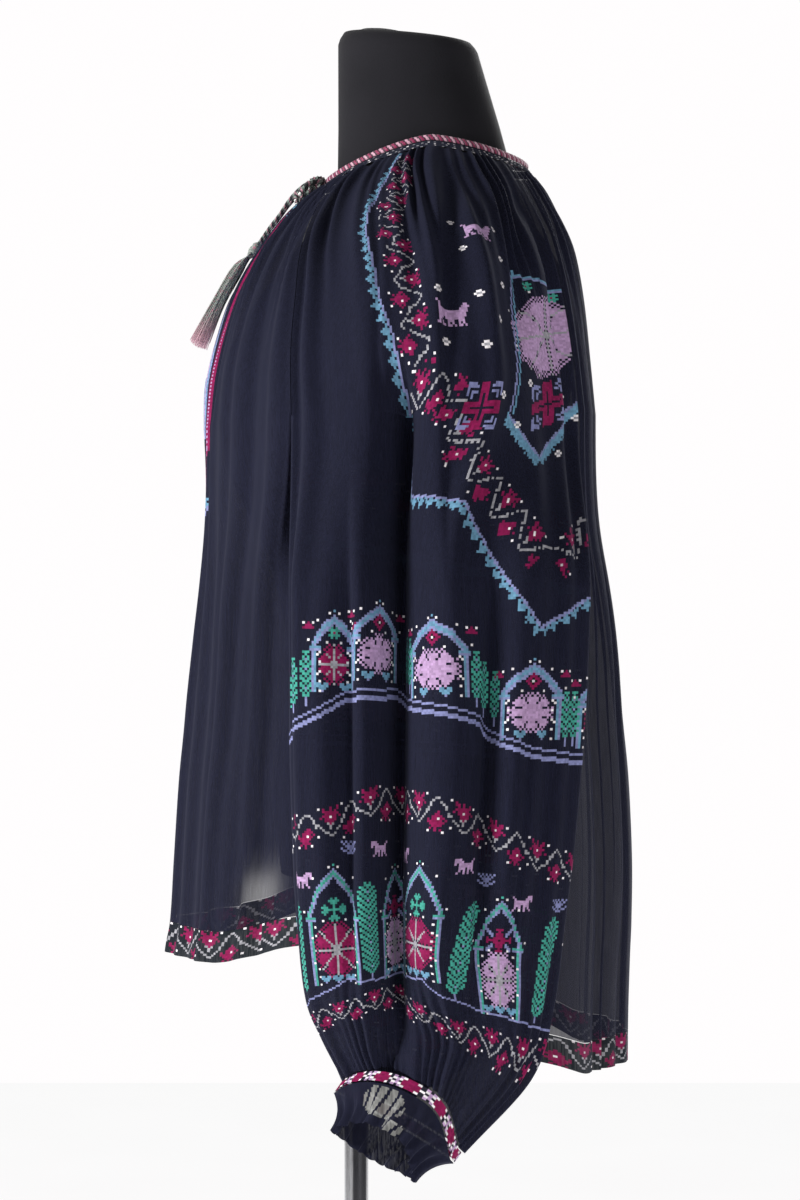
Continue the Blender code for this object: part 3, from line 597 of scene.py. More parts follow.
def border(work, path, lines, side=1):
    """A repeating border along a path, its first line on the path and the rest to one side of it."""
    reach = len(lines) + 1
    left = max(0, int(min(c for c, _ in path)) - reach)
    top = max(0, int(min(r for _, r in path)) - reach)
    part = work[top:int(max(r for _, r in path)) + reach + 1, left:int(max(c for c, _ in path)) + reach + 1]
    r, c = np.mgrid[0:part.shape[0], 0:part.shape[1]]
    away = np.full(r.shape, 1e9)
    along, over, past = np.zeros(r.shape), np.zeros(r.shape), np.zeros(r.shape, bool)
    walked = 0.0
    for (c0, r0), (c1, r1) in zip(path, path[1:]):
        length = math.hypot(c1 - c0, r1 - r0)
        ac, ar = (c1 - c0) / length, (r1 - r0) / length
        dc, dr = c + left - c0, r + top - r0
        ahead = dc * ac + dr * ar
        near = np.clip(ahead, 0, length)
        distance = np.hypot(dc - ac * near, dr - ar * near)
        closer = distance < away - 1e-6
        past[closer] = (abs(ahead - near) > 0.6)[closer]
        away[closer] = distance[closer]
        along[closer] = (walked + near)[closer]
        over[closer] = ((dr * ac - dc * ar) * side)[closer]
        walked += length
    wide = max(len(line) for line in lines)
    letters = np.array([list((line * wide)[:wide]) for line in lines])
    which = np.rint(away).astype(int)
    inside = (which < len(lines)) & ((over > -0.25) | (which == 0)) & (~past | (which < 2))
    thread = letters[np.minimum(which, len(lines) - 1), along.astype(int) % letters.shape[1]]
    for name, colour in THREADS.items():
        part[inside & (thread == name)] = (*colour, 1.0)


def band(work, table, lines):
    """A repeating band across the whole canvas, its upper edge at the rows of a table."""
    for c in range(work.shape[1]):
        top = hang(table, c)
        for k, line in enumerate(lines):
            if line[c % len(line)] != ".":
                stitch(work, c, top + k, line[c % len(line)])


def hang(table, column):
    """Row of a band at a column."""
    return float(np.interp(column, [c for c, _ in table], [r for _, r in table]))


def medallion(work, column, row_, wide, high, thread, spoke="g", rise=0.0):
    """A filled octagon with spokes, a notched rim and white dots, lifted by rise where the cloth slants."""
    large = high > 11
    for r in range(-high, high + 1):
        for c in range(-wide, wide + 1):
            x, y = c / wide, r / high
            edge = max(abs(x), abs(y), (abs(x) + abs(y)) * 0.70)
            eighth = math.atan2(y, x) / (math.pi / 4)
            near = abs(eighth - round(eighth)) * math.hypot(c, r)
            between = abs(eighth % 1 - 0.5) * math.hypot(c, r)
            if edge > 1.0 or (edge > 0.86 and (r + c) % 2):
                continue
            if large and 0.6 <= near < 1.3 and (r + c) % 2:
                continue
            if not large and thread != "m" and between < 0.5 and edge > 0.45:
                continue
            ray = near < (0.6 if large else 0.45) and (large or thread == "m")
            stitch(work, column + c, row_ + r - rise * c, spoke if ray else thread)
    for k in range(8):
        t = math.pi * (k + 0.5) / 4
        aside, down = (wide + 1.5) * 1.04 * math.cos(t), (high + 1.5) * 1.04 * math.sin(t)
        stitch(work, column + aside, row_ + down, "w")


def rayed(work, column, row_, wide, high, rise=0.0):
    """A red cross with blue angles nested in its four corners."""
    for r in range(-high, high + 1):
        for c in range(-wide, wide + 1):
            x, y = abs(c) / wide, abs(r) / high
            if min(x, y) < 0.24 and (c and r or max(x, y) > 0.6):
                stitch(work, column + c, row_ + r - rise * c, "m")
            elif min(x, y) > 0.34 and int(max(x, y) * 6.99) % 2 == 0 and max(x, y) - min(x, y) < 0.5:
                stitch(work, column + c, row_ + r - rise * c, "v")


def cypress(work, column, base, high, half, lean=0.0):
    """A tree of slanting leaves, widest below its middle, on a short trunk."""
    for r in range(high):
        full = half * min(1.0, 0.35 + r / 5) * min(1.0, 0.45 + (high - r) / 6)
        middle = column + lean * (high - r)
        for c in range(-int(half) - 1, int(half) + 2):
            if abs(c) <= full and (r + abs(c)) % 3:
                stitch(work, middle + c, base - high - 2 + r, "t" if c or r % 4 else "v")
    for r in range(3):
        stitch(work, column, base - r, "v")


def niche(work, column, base, wide, high, roof, wall):
    """An arched niche: two double walls and a peaked roof that starts from small eaves, dotted with white."""
    eaves = base - int(high * 0.60)
    for side in (-1, 1):
        edge = column + side * wide
        border(work, ((edge, base), (edge, eaves)), (wall,))
        border(work, ((edge - side, base), (edge - side, eaves)), (roof,))
        border(work, ((edge - side * 3, base), (edge - side * 3, eaves)), ("w...",))
        for off in range(4):
            slope = ((edge, eaves + off - 2), (column + side * wide * 0.55, base - high * 0.86 + off),
                     (column, base - high + off))
            border(work, slope, ((wall if off in (0, 3) else roof),))
        border(work, ((edge + side, eaves), (edge - side * 3, eaves)), (roof,))
        border(work, ((edge + side, eaves + 1), (edge - side * 3, eaves + 1)), (wall,))
        stitch(work, edge + side * 2, eaves - 3, "w")
        stitch(work, column + side * (wide * 0.55 + 2), base - high * 0.88 - 2, "w")
        stitch(work, column + side * 2, base - high - 1, "w")
    stitch(work, column, base - high - 2, roof)


TEETH = (
    "vvvvvv",
    "b.bb.b",
    "bbbbb.",
    ".bbb..",
    "..b...",
)
VINE = (
    "w.m..m..m.w.........",
    "..mm.m.mm.....gg....",
    "...mmmmm.....g..g...",
    "..mmmmmmm...g....g..",
    ".m.mmwmm.m..g.....g.",
    "...mmmmm...g......g.",
    "....mmm....g.......g",
    "g...gmg...g....m...g",
    ".g...g....g...mmm...",
    "..g..g...g...mmmmm..",
    "...g....g..m.mmwm.m.",
    "....g..g...mmmmmmm..",
    "w....gg.....mmmmm...",
    ".............mmm....",
    "............m.m.m...",
    "...........w..m..w..",
)
KID = (
    "l......lll.",
    ".l....llll.",
    ".lllllll.l.",
    ".lllllll...",
    ".lll.lll...",
    ".l.l.l.l...",
    "l..l.l..l..",
)
ANIMAL = (
    "l.............ll..",
    ".l...........llll.",
    ".l..........llll..",
    ".lllllllllllllll..",
    ".llllllllllllll...",
    ".llllllllllllll...",
    ".lll.lllllllll....",
    ".ll...lll..lll....",
    ".l.l..l.l..l.l....",
    "ll.ll.ll.l.ll.l...",
)
SPRIG = (".ww.", "wggw", ".ww.")
STAR = (
    "....t.t....",
    "...ttttt...",
    "....ttt....",
    ".t...t...t.",
    "ttt..t..ttt",
    ".tttttttttt",
    "ttt..t..ttt",
    ".t...t...t.",
    "....ttt....",
    "...ttttt...",
    "....t.t....",
)
CROSS = (
    "v...mmm...v",
    "vv...m...vv",
    ".vv.mmm.vv.",
    "..v.mmm.v..",
    "m..mmmmm..m",
    "mmmmmkmmmmm",
    "m..mmmmm..m",
    "..v.mmm.v..",
    ".vv.mmm.vv.",
    "vv...m...vv",
    "v...mmm...v",
)
FAN = ("v.v.v.v.v", ".v.v.v.v.", "..vvvvv..", "v..vvv..v", ".vv.v.vv.", "...vvv...")
ROSETTE = (".t.t.", "ttttt", ".tmt.", "ttttt", ".t.t.")
DIAMOND = ("...m...", "..mmm..", ".mmkmm.", "mmkwkmm", ".mmkmm.", "..mmm..", "...m...")
BLUET = ("bb.bb", "bbbbb", ".bbb.", "..v..")
PEAK = ("w.m.w", ".mmm.", "mmmmm")


# Sleeve embroidery, worked from the front raglan seam (column 0) to the rear one (168) and on round the inner
# side, and from the neck (row 0) to the cuff (470). Bands follow the way the sleeve hangs, and the tables of
# their lines give column and row.
STITCH_COLUMNS = 168
YOKE_ROWS = 165
LOWER_ROWS = 305
INNER_COLUMNS = 54
sleeve_work = np.zeros((YOKE_ROWS + LOWER_ROWS, STITCH_COLUMNS + INNER_COLUMNS, 4))


def scattered(lines, places):
    """A small motif at several places of the sleeve."""
    for c, r in places:
        chart(sleeve_work, lines, c, r)


TEETH_LINE = ((62, 4), (60, 14), (46, 60), (44, 82), (48, 120), (54, 138), (56, 162), (64, 176), (72, 200),
              (102, 206), (140, 256), (160, 246), (222, 212))
border(sleeve_work, TEETH_LINE, TEETH, 1)
border(sleeve_work, ((74, 8), (72, 38), (62, 74), (66, 90), (68, 114), (72, 148)), VINE, 1)
border(sleeve_work, ((62, 151), (86, 153), (103, 182), (143, 222), (168, 208), (222, 176)), VINE, 1)
scattered(ANIMAL, ((106, 86), (84, 130)))
scattered(SPRIG, ((93, 76), (118, 79), (95, 96), (119, 97), (77, 120), (97, 121), (79, 141), (97, 142)))
medallion(sleeve_work, 146, 131, 27, 18, "l", rise=0.20)
border(sleeve_work, ((128, 103), (170, 107)), ("b", "v"))
border(sleeve_work, ((127, 100), (112, 166)), ("v", ".", "b"), -1)
border(sleeve_work, ((112, 168), (133, 186), (168, 158), (200, 150)), ("v", "b", "b", "b", ".b"), 1)
rayed(sleeve_work, 141, 162, 14, 9, 0.20)
rayed(sleeve_work, 96, 165, 7, 9)
scattered(ROSETTE, ((134, 109), (160, 110)))
scattered(SPRIG, ((118, 172), (106, 160), (126, 154), (158, 158), (148, 184), (116, 112), (108, 130),
                  (164, 168)))

MID_BASE = ((0, 300), (6, 296), (22, 288), (32, 282), (62, 280), (68, 284), (96, 288), (112, 292), (118, 298),
            (140, 306), (168, 310), (222, 300))
# Niches: column, half width, thread of the medallion.
MID_NICHES = ((27, 9, "m"), (49, 12, "l"), (92, 14, "l"), (138, 13, "l"), (173, 12, "m"), (203, 12, "l"))
for c, wide, inside in MID_NICHES:
    base = int(hang(MID_BASE, c)) - 3
    niche(sleeve_work, c, base, wide, 31, "b", "v")
    medallion(sleeve_work, c, base - 11, wide - 3, 8, inside)
    chart(sleeve_work, ROSETTE if inside == "m" else DIAMOND, c, base - 24)
    scattered(BLUET, ((c - 5, base - 1), (c + 5, base - 1)))
    scattered(PEAK, ((c - wide - 2, base - 27), (c + wide + 2, base - 27)))
for c in (3, 9, 15, 70, 76, 110, 115, 121, 154, 159, 187):
    cypress(sleeve_work, c, int(hang(MID_BASE, c)) - 3, 21, 2)
band(sleeve_work, MID_BASE, ("v", ".", ".", "v", "v"))

VINE_BAND = ((0, 338), (26, 332), (46, 322), (68, 322), (94, 326), (122, 336), (144, 346), (168, 354),
             (222, 346))
band(sleeve_work, VINE_BAND, VINE)

for c, r, back in ((12, 364, 0), (50, 350, 1), (74, 353, 0), (108, 357, 1), (140, 374, 0), (186, 372, 0)):
    chart(sleeve_work, KID, c, r, back)
scattered(FAN, ((34, 350), (122, 364), (159, 376), (207, 370)))

LOW_BASE = ((0, 424), (22, 416), (30, 411), (62, 414), (92, 411), (99, 418), (118, 426), (162, 430),
            (222, 424))
LOW_NICHES = ((26, 12, "m"), (62, 9, "l"), (88, 13, "m"), (130, 10, "l"), (178, 12, "m"), (212, 10, "l"))
for c, wide, inside in LOW_NICHES:
    base = int(hang(LOW_BASE, c))
    niche(sleeve_work, c, base, wide, 54, "t", "v")
    medallion(sleeve_work, c, base - 17, wide - 2, 13, inside)
    chart(sleeve_work, STAR if inside == "m" else CROSS, c, base - 36)
    scattered(BLUET, ((c - 6, base - 2), (c, base - 2), (c + 6, base - 2)))
for c, lean in ((6, 0.0), (44, 0.0), (107, 0.22), (150, 0.16), (196, 0.0)):
    cypress(sleeve_work, c, int(hang(LOW_BASE, c)) - 1, 44, 4, lean)
band(sleeve_work, LOW_BASE, ("v",))
LOW_VINE = ((0, 432), (4, 430), (32, 422), (44, 418), (58, 420), (90, 426), (106, 434), (132, 436),
            (222, 430))
band(sleeve_work, LOW_VINE, VINE)
border(sleeve_work, ((165, 176), (165, 469)), ("v",))


# Gauze: thin crinkled navy cotton, so fine that light passes where one layer hangs before a bright ground.
# Threads of the embroidery lie on it as small crosses, one to a cell of the cloth's own grid.
def gauze(name, alpha=0.95, ground=(0.0075, 0.0082, 0.0200), sheer=0.0, painted_light=0.0):
    """A crinkled gauze, more sheer where its canvas holds red without a stitch; given the last argument, it
    also gets painted light there, a pale grey in its colour.
    """
    made, start, shader = finish(name, 0.9, Sheen_Weight=0.05, Sheen_Roughness=0.5)
    shader.inputs["Sheen Tint"].default_value = (0.55, 0.6, 0.9, 1)
    shader.inputs["Specular IOR Level"].default_value = 0.12
    u, v = start.cells()
    thread = start.node("ShaderNodeAttribute", {"attribute_name": "thread"}, None, 0)
    worked = start.node("ShaderNodeAttribute", {"attribute_name": "thread"}, None, 3)
    x, y = (u * 2).fraction(), (v * 2).fraction()
    cross = 1 - x.distance(y).lesser((x + y).distance(1.0)).above(0.26, 0.52)
    where = start.spot()
    crinkle = start.noise(start.stretched(where, 0.10), 520.0, 3.0)
    slub = start.noise(start.stretched(where, 0.04), 900.0, 2.0)
    weave = (u * 12.566).sine() * (v * 12.566).sine()
    # Painted shade and light: the ground is darker in the crinkles' hollows and paler on their ridges, from
    # the same noise as the bump.
    crinkle_painted_shade, light = (tuple(k * c for c in ground) + (1,) for k in (0.88, 1.15))
    cloth = crinkle.above(0.25, 0.75).mixed(crinkle_painted_shade, light)
    clear = start.node("ShaderNodeSeparateColor", None, {0: thread}, 0) * (1 - worked)
    # Painted light: pale grey is mixed into the colour where the canvas is clear, standing in for light that
    # shines through the gauze.
    if painted_light:
        pale = crinkle.above(0.3, 0.7).mixed((0.14, 0.14, 0.135, 1), (0.27, 0.27, 0.255, 1))
        cloth = (clear * painted_light).mixed(cloth, pale)
    shown = worked * (0.34 + 0.66 * cross)
    feed(shader, "Base Color", shown.mixed(cloth, thread))
    cover = worked * (1 - alpha) + slub.above(0.3, 0.7) * 0.05 + (alpha - 0.03)
    if sheer:
        cover = cover - clear * sheer
    feed(shader, "Alpha", cover)
    height = crinkle * 0.55 + slub * 0.25 + weave * 0.05 + worked * cross * 0.9
    feed(shader, "Normal", raised(start, height, 0.0006, 0.6))
    return made


def gathers(place, count, seed=0.0):
    """Uneven small pleats across a piece, from -1 to 1."""
    turns = 2 * np.pi
    drift = 0.42 * np.sin(turns * (2.3 * place + seed)) + 0.20 * np.sin(turns * (5.7 * place + 2 * seed))
    drift = drift * min(1.0, count / 12)
    return np.sin(turns * (count * place + drift)) * (0.62 + 0.38 * np.sin(turns * (3.1 * place - seed)))


# Front panel: one breadth of gauze, gathered to the neck band and slit at the centre front, with worked
# borders beside the slit. It meets the sleeves at the raglan seams and the back at the side seams.
SEAM = 0.0004
SEAM_MIDDLE_Y = 0.055
SLIT_MIDDLE_Y = 0.06
NECK_BAND = 0.045
SLIT_END = 0.84
SLIT_HALF = 0.0035
HEM_BAND = 0.023
VENT_TOP_Z = 0.90
FRONT_CELLS = 66
UNDER_CELLS = 40
BACK_CELLS = 90
BODY_ROWS = 190

navy_gauze = gauze("navy_gauze", sheer=0.42)


def seam_trim(level, angle):
    """Half the seam gap as an angle at a place on the garment."""
    p = panel_base(level, angle)
    return np.degrees(SEAM / np.hypot(p[:, 0], p[:, 1] - SEAM_MIDDLE_Y))


def slit(level):
    """Half the front slit as an angle."""
    p = panel_base(level, np.zeros_like(level))
    wide = SLIT_HALF * (1 - step((level - 0.45) / 0.45)) + 0.0004
    return np.where(level >= SLIT_END, 0.0, np.degrees(wide / (SLIT_MIDDLE_Y - p[:, 1])))


def vent(level, angle):
    """Opening of the side vent as an angle, growing below its top."""
    z = panel_base(level, angle)[:, 2]
    return 3.0 * step((VENT_TOP_Z - z) / 0.12)


def last_level(side):
    """Level at which a panel ends, so that the hem band fits below it."""
    return 2 - (HEM_BAND + 0.0003) / (1.216 - FRONT_HEM_Z if side == "front" else 1.225 - BACK_HEM_Z)


def level_between(first, last, down):
    """Level of a row, with rows of even length above and below the underarm."""
    if first >= 1:
        return first + (last - first) * down
    turn = YOKE_ROWS / (YOKE_ROWS + BODY_ROWS)
    lower = 1 + (last - 1) * (down - turn) / (1 - turn)
    return np.where(down < turn, first + (1 - first) * down / turn, lower)


def cloth_relief(place, level, count, seed):
    """Fine gathers below the neck, and soft crinkles all the way down."""
    amount = 0.0025 * gathers(place, count, seed) * neck_fade(level)
    amount += 0.0042 * gathers(place, count * 0.30, seed + 0.4) * step((level - 0.1) / 0.4)
    return amount


def front_half(first, last, sign):
    """Points of one half of the front, from the centre out to the raglan seam's line."""
    def place(across, down):
        level = level_between(first, last, down)
        seam = seam_angles(level)[0]
        edge = seam - np.where(level <= 1, seam_trim(level, seam), 0)
        near = slit(level)
        angle = near + (edge - near) * across
        calm = step((1 - across) / 0.06) * step(across / 0.05 + (level > SLIT_END))
        relief = cloth_relief(across * (edge / 52), level, 12, 0.13 * sign) * calm
        relief *= np.where(across < 0.02, 0.0, 1.0)
        return panel_point(level, sign * angle, relief)
    return place


def under_arm(first, last, side, sign):
    """Points of a panel under the arm, from the raglan seam's line round to the side seam."""
    def place(across, down):
        level = level_between(first, last, down)
        start = float(seam_angles(1.0)[0 if side == "front" else 1][0])
        way = 1 if side == "front" else -1
        trim = seam_trim(level, 90.0) + vent(level, 90 - 0.01 * way)
        stop = 90 - way * trim
        begin = np.where(level <= 1, start - way * seam_trim(level, start), start)
        angle = begin + (stop - begin) * across
        relief = 0.0006 * gathers(across, 6, 0.2 * sign) * step((level - 1) / 0.4) * step(across / 0.1)
        return panel_point(level, sign * angle, relief * step((1 - across) / 0.1))
    return place


def under_cloth(first, last, rows, side, sign, work):
    """Mesh of a panel under the arm, from the underarm down."""
    place = under_arm(max(first, 1.0), last, side, sign)
    return grid(UNDER_CELLS, min(rows, BODY_ROWS), place, work, (sign > 0) == (side == "front"))


def front_cloth(first, last, rows, work, under):
    """Meshes of the front between two levels."""
    meshes = []
    for _, sign in HANDS:
        meshes.append(grid(FRONT_CELLS, rows, front_half(first, last, sign), work, sign > 0))
        meshes.append(under_cloth(first, last, rows, "front", sign, under))
    return meshes


# The low front corner is clear, where a single layer hangs before the bright ground.
CLEAR_ROW = 184
front_work = np.zeros((YOKE_ROWS + BODY_ROWS, FRONT_CELLS, 4))
border(front_work, ((22, 0), (25, 74)), ("t..", "tt.", ".gt", "g.."), -1)
under_work = np.zeros((BODY_ROWS, UNDER_CELLS, 4))
for r in range(160, BODY_ROWS):
    for c in range(-16, 10):
        clear = math.exp(-((r - CLEAR_ROW) / 13) ** 4 - ((c + 3) / 9) ** 4)
        (front_work[YOKE_ROWS + r] if c < 0 else under_work[r])[c, 0] = clear
border(front_work, ((1, 0), (1, 168)), ("v", "b", "l", "b", "v"), -1)
border(front_work, ((8, 0), (8, 172), (0, 190)), ("m", "lm", "m"), -1)
border(front_work, ((14, 0), (15, 180), (0, 204)), TEETH[::-1], -1)
PANEL_TOP = 0.05
PANEL_ROWS = YOKE_ROWS + BODY_ROWS
meshes = front_cloth(PANEL_TOP, last_level("front"), PANEL_ROWS, front_work, under_work)
front = piece("front_panel_gauze", meshes, navy_gauze)
dressed(front, "front_panel")


# Back panel: a longer breadth of the gauze between the rear raglan seams, gathered at the neck like the front
# and left plain down to its hem.
def back_place(first, last):
    """Points of the back between the raglan seams' lines."""
    def place(across, down):
        level = level_between(first, last, down)
        seam = seam_angles(level)[1]
        edge = seam + np.where(level <= 1, seam_trim(level, seam), 0)
        angle = edge + (360 - 2 * edge) * across
        calm = step(across / 0.03) * step((1 - across) / 0.03)
        relief = cloth_relief(across, level, 22, 0.37) * calm
        return panel_point(level, np.where(angle <= 180, angle, angle - 360), relief)
    return place


def back_cloth(first, last, rows, work, under):
    """Meshes of the back between two levels."""
    return [grid(BACK_CELLS, rows, back_place(first, last), work, True)] + [
        under_cloth(first, last, rows, "back", sign, under) for _, sign in HANDS]


meshes = back_cloth(PANEL_TOP, last_level("back"), PANEL_ROWS, None, None)
back = piece("back_panel_gauze", meshes, gauze("back_gauze", 0.88))
dressed(back, "back_panel")


# Hem bands: the turned-up hems of front and back, darker for being double, with a worked vine of tulips.
# Each is stitched on just below its panel.
HEM_ROWS = 15
HEM_GAP = {"front": 0.0009, "back": 0.0008}
hem_cloth = gauze("hem_cloth", 0.99, (0.009, 0.012, 0.016))


def hem_work(columns):
    """The tulip vine along a hem."""
    work = np.zeros((HEM_ROWS, columns, 4))
    border(work, ((0, 0), (columns, 0)), VINE, 1)
    return work


for side, cloth, cells, flat in (("front", front_cloth, FRONT_CELLS, (0.58, 0.023)),
                                 ("back", back_cloth, BACK_CELLS, (0.60, 0.023))):
    meshes = cloth(last_level(side) + HEM_GAP[side], 2.0, HEM_ROWS, hem_work(cells), hem_work(UNDER_CELLS))
    hem = piece(side + "_hem", meshes, hem_cloth)
    dressed(hem, "hem_band_" + side)


# Sleeves: wide balloon sleeves of the gauze, cut with the shoulder in one and sewn to the panels at the
# raglan seams. They are gathered to the neck and again to the cuff.

# The tube from underarm (0) to cuff (1): level, front y and z, rear y and z, inner and outer x, and how far
# the outer side is lifted along the cuff's axis.
SLEEVE = (
    (0.00, -0.0450, 1.2160, 0.1650, 1.2200, 0.175, 0.248, 0.000),
    (0.10, -0.0460, 1.1700, 0.1680, 1.1700, 0.187, 0.262, 0.000),
    (0.25, -0.0465, 1.0900, 0.1690, 1.0900, 0.194, 0.274, 0.000),
    (0.42, -0.0455, 1.0000, 0.1655, 1.0000, 0.199, 0.282, 0.000),
    (0.58, -0.0434, 0.9200, 0.1590, 0.9180, 0.204, 0.288, 0.000),
    (0.72, -0.0400, 0.8500, 0.1510, 0.8500, 0.207, 0.287, 0.002),
    (0.84, -0.0340, 0.7950, 0.1430, 0.7900, 0.210, 0.280, 0.008),
    (0.93, -0.0225, 0.7660, 0.1270, 0.7390, 0.214, 0.272, 0.018),
    (1.00, -0.0072, 0.7365, 0.0790, 0.6860, 0.218, 0.266, 0.030),
)
# Folds of the outer side: place from front (-1) to rear (1), half width, depth, first and last level.
OUTER_FOLDS = (
    (-0.26, 0.17, -0.026, 0.85, 2.00),
    (-0.02, 0.15, 0.007, 0.95, 1.95),
    (-0.62, 0.10, -0.009, 1.15, 1.85),
    (-0.82, 0.09, 0.004, 1.15, 1.90),
    (0.34, 0.09, -0.010, 1.20, 1.80),
    (0.52, 0.12, 0.005, 1.05, 1.80),
    (0.80, 0.08, -0.006, 0.60, 1.90),
    (-0.42, 0.09, 0.004, 0.15, 1.10),
    (-0.15, 0.08, -0.005, 0.10, 0.85),
    (0.12, 0.09, -0.006, 0.10, 1.05),
    (0.36, 0.09, 0.004, 0.15, 1.00),
    (0.60, 0.08, -0.005, 0.10, 0.95),
)
# Folds of the inner side: angle, half width, depth, first and last level.
INNER_FOLDS = (
    (215, 13, -0.010, 1.15, 1.95),
    (258, 13, 0.005, 1.20, 1.90),
    (300, 13, -0.010, 1.15, 1.95),
    (338, 11, 0.004, 1.20, 1.90),
)
CUFF_AXIS = np.array((0.0, -0.579, -0.815))
# Pleats, sharper than the folds: place, half width before and after it, depth, first and last level.
PLEATS = (
    (-0.235, 0.13, 0.026, -0.017, 0.86, 1.99),
    (-0.605, 0.10, 0.024, -0.006, 1.05, 1.92),
    (0.345, 0.026, 0.11, -0.007, 1.10, 1.90),
    (0.06, 0.022, 0.07, -0.0025, 0.35, 1.30),
    (0.64, 0.06, 0.020, -0.003, 1.25, 1.95),
    (-0.40, 0.05, 0.020, -0.0025, 0.20, 1.15),
)


def pleats(place, level):
    """Depth of the pleats, each steep on one side and soft on the other."""
    total = 0.0
    for centre, before, after, depth, first, last in PLEATS:
        fade = step((level - first) / 0.2) * step((last - level) / 0.15 + (last > 1.98))
        away = place - centre
        total = total + depth * fade * np.exp(-np.abs(away / np.where(away < 0, before, after)) ** 1.5)
    return total


def tube_base(level, around):
    """The left sleeve's tube without folds, at a level from underarm (0) to cuff (1)."""
    _, ya, za, yb, zb, xin, xout, lift = row(SLEEVE, level)
    c = power(np.cos(np.radians(around)), 0.85)
    s = power(np.sin(np.radians(around)), 0.85)
    side = np.maximum(s, 0.0) ** np.where(around < 90, 1.3, 3.5)
    x = (xin + xout) / 2 + (xout - xin) / 2 * s
    y = (ya + yb) / 2 - (yb - ya) / 2 * c
    z = (za + zb) / 2 - (zb - za) / 2 * c
    return spots(x, y, z) - CUFF_AXIS * (lift * side)[:, None]


def sleeve_base(level, around):
    """A point of the left sleeve without folds, at a level from neck (0) to cuff (2)."""
    level, around = np.broadcast_arrays(np.atleast_1d(level).astype(float), around)
    level = np.where(around > 180, np.maximum(level, 1.0), level)
    front, rear = seam_angles(level)
    outer = yoke_base(np.minimum(level, 1.0), front + (rear - front) * np.minimum(around, 180) / 180)
    inner = top_line(rear + (front - rear) * (np.maximum(around, 180) - 180) / 180)[0]
    away = inner * (1, 1, 0) - (0, 0.06, 0)
    apart = SEAM + 0.0008 * np.sin(np.radians(np.maximum(around, 180) - 180))
    inner = inner + away / np.linalg.norm(away, axis=1)[:, None] * apart[:, None]
    start = np.where((around > 180)[:, None], inner, outer)
    down = level - 1
    tube_ = tube_base(np.maximum(down, 0), around)
    keep = (1 - step(down / 0.25))[:, None]
    start = start - np.array((0, 0, 0.5)) * np.maximum(down, 0)[:, None]
    lower = tube_ + (start - tube_) * keep
    return np.where(((level <= 1) & (around <= 180))[:, None], outer, lower)


def sleeve_point(level, around, extra=0.0):
    """A finished point of the left sleeve, with extra relief outwards."""
    level, around = np.broadcast_arrays(np.atleast_1d(level).astype(float), around)
    seam = np.minimum(np.minimum(abs(around), abs(around - 180)), abs(around - 360))
    calm = step(seam / 14) + (1 - step(seam / 14)) * step((level - 1) / 0.15)
    calm = np.where(level <= 1.15, calm, 1.0) * np.where(around > 180, step((level - 1) / 0.2), 1.0)
    _, ya, _, yb = row(SLEEVE, np.maximum(level - 1, 0.0))[:4]
    across = (sleeve_base(level, np.minimum(around, 180))[:, 1] - (ya + yb) / 2) / ((yb - ya) / 2)
    outer = folds(OUTER_FOLDS, across, level) + pleats(across, level)
    inner = folds(INNER_FOLDS, around, level)
    amount = np.where(around <= 180, outer, inner) * calm
    amount = amount * (1 - 0.85 * step((level - 1.75) / 0.25))
    return lifted(sleeve_base, level, around, amount + extra)


def sleeve_level(down, first_row, rows):
    """Level of a row of the sleeve's stitches."""
    r = first_row + down * rows
    return np.where(r <= YOKE_ROWS, 0.05 + 0.95 * r / YOKE_ROWS, 1 + (r - YOKE_ROWS) / LOWER_ROWS)


def sleeve_relief(place, level, count):
    """Gathers at the neck and at the cuff, with crinkles between."""
    amount = 0.0031 * gathers(place, count, 0.21) * neck_fade(level)
    amount += 0.0017 * gathers(place, count * 1.5, 0.55) * step((level - 1.66) / 0.26)
    crinkles = gathers(place, count * 0.30, 0.8) * step((level - 0.1) / 0.4)
    return amount + 0.0050 * crinkles * (1 - 0.5 * step(level - 0.8))


EVEN_PARTS = 181


def evenly(level, across, first, last):
    """Angles that share out the cloth's width evenly at each level, folds included."""
    levels, at, which = np.unique(level, return_index=True, return_inverse=True)
    parts = np.linspace(0, 1, EVEN_PARTS)
    angle = first[at][:, None] + (last - first)[at][:, None] * parts
    shown = np.where(angle >= 359.999, 0.0, angle)
    p = sleeve_point(np.repeat(levels, EVEN_PARTS), shown.ravel()).reshape(-1, EVEN_PARTS, 3)
    length = np.cumsum(np.linalg.norm(np.diff(p, axis=1, prepend=p[:, :1]), axis=2), axis=1)
    found = np.empty_like(across)
    for i in range(len(levels)):
        mine = which == i
        found[mine] = np.interp(across[mine] * length[i, -1], length[i], angle[i])
    return found


def outer_sleeve(sign):
    """Points of the outer side, from the front raglan seam to the rear one."""
    def place(across, down):
        level = sleeve_level(down, 0, YOKE_ROWS + LOWER_ROWS)
        front, rear = seam_angles(level)
        first = np.where(level <= 1, seam_trim(level, front) / (rear - front) * 180, 0)
        last = 180 - np.where(level <= 1, seam_trim(level, rear) / (rear - front) * 180, 0)
        around = evenly(level, across, first, last)
        calm = step(across / 0.02) * step((1 - across) / 0.02)
        found = sleeve_point(level, around, sleeve_relief(across, level, 17) * calm)
        return found * (sign, 1, 1)
    return place


def inner_sleeve(sign):
    """Points of the inner side, from the underarm to the cuff."""
    def place(across, down):
        level = sleeve_level(down, YOKE_ROWS, LOWER_ROWS)
        calm = step(across / 0.05) * step((1 - across) / 0.05) * step((level - 1) / 0.1)
        relief = sleeve_relief(across, level, 12) * calm
        around = evenly(level, across, np.full_like(level, 180.0), np.full_like(level, 360.0))
        shown = np.where(around >= 359.999, 0.0, around)
        return sleeve_point(level, shown, relief) * (sign, 1, 1)
    return place


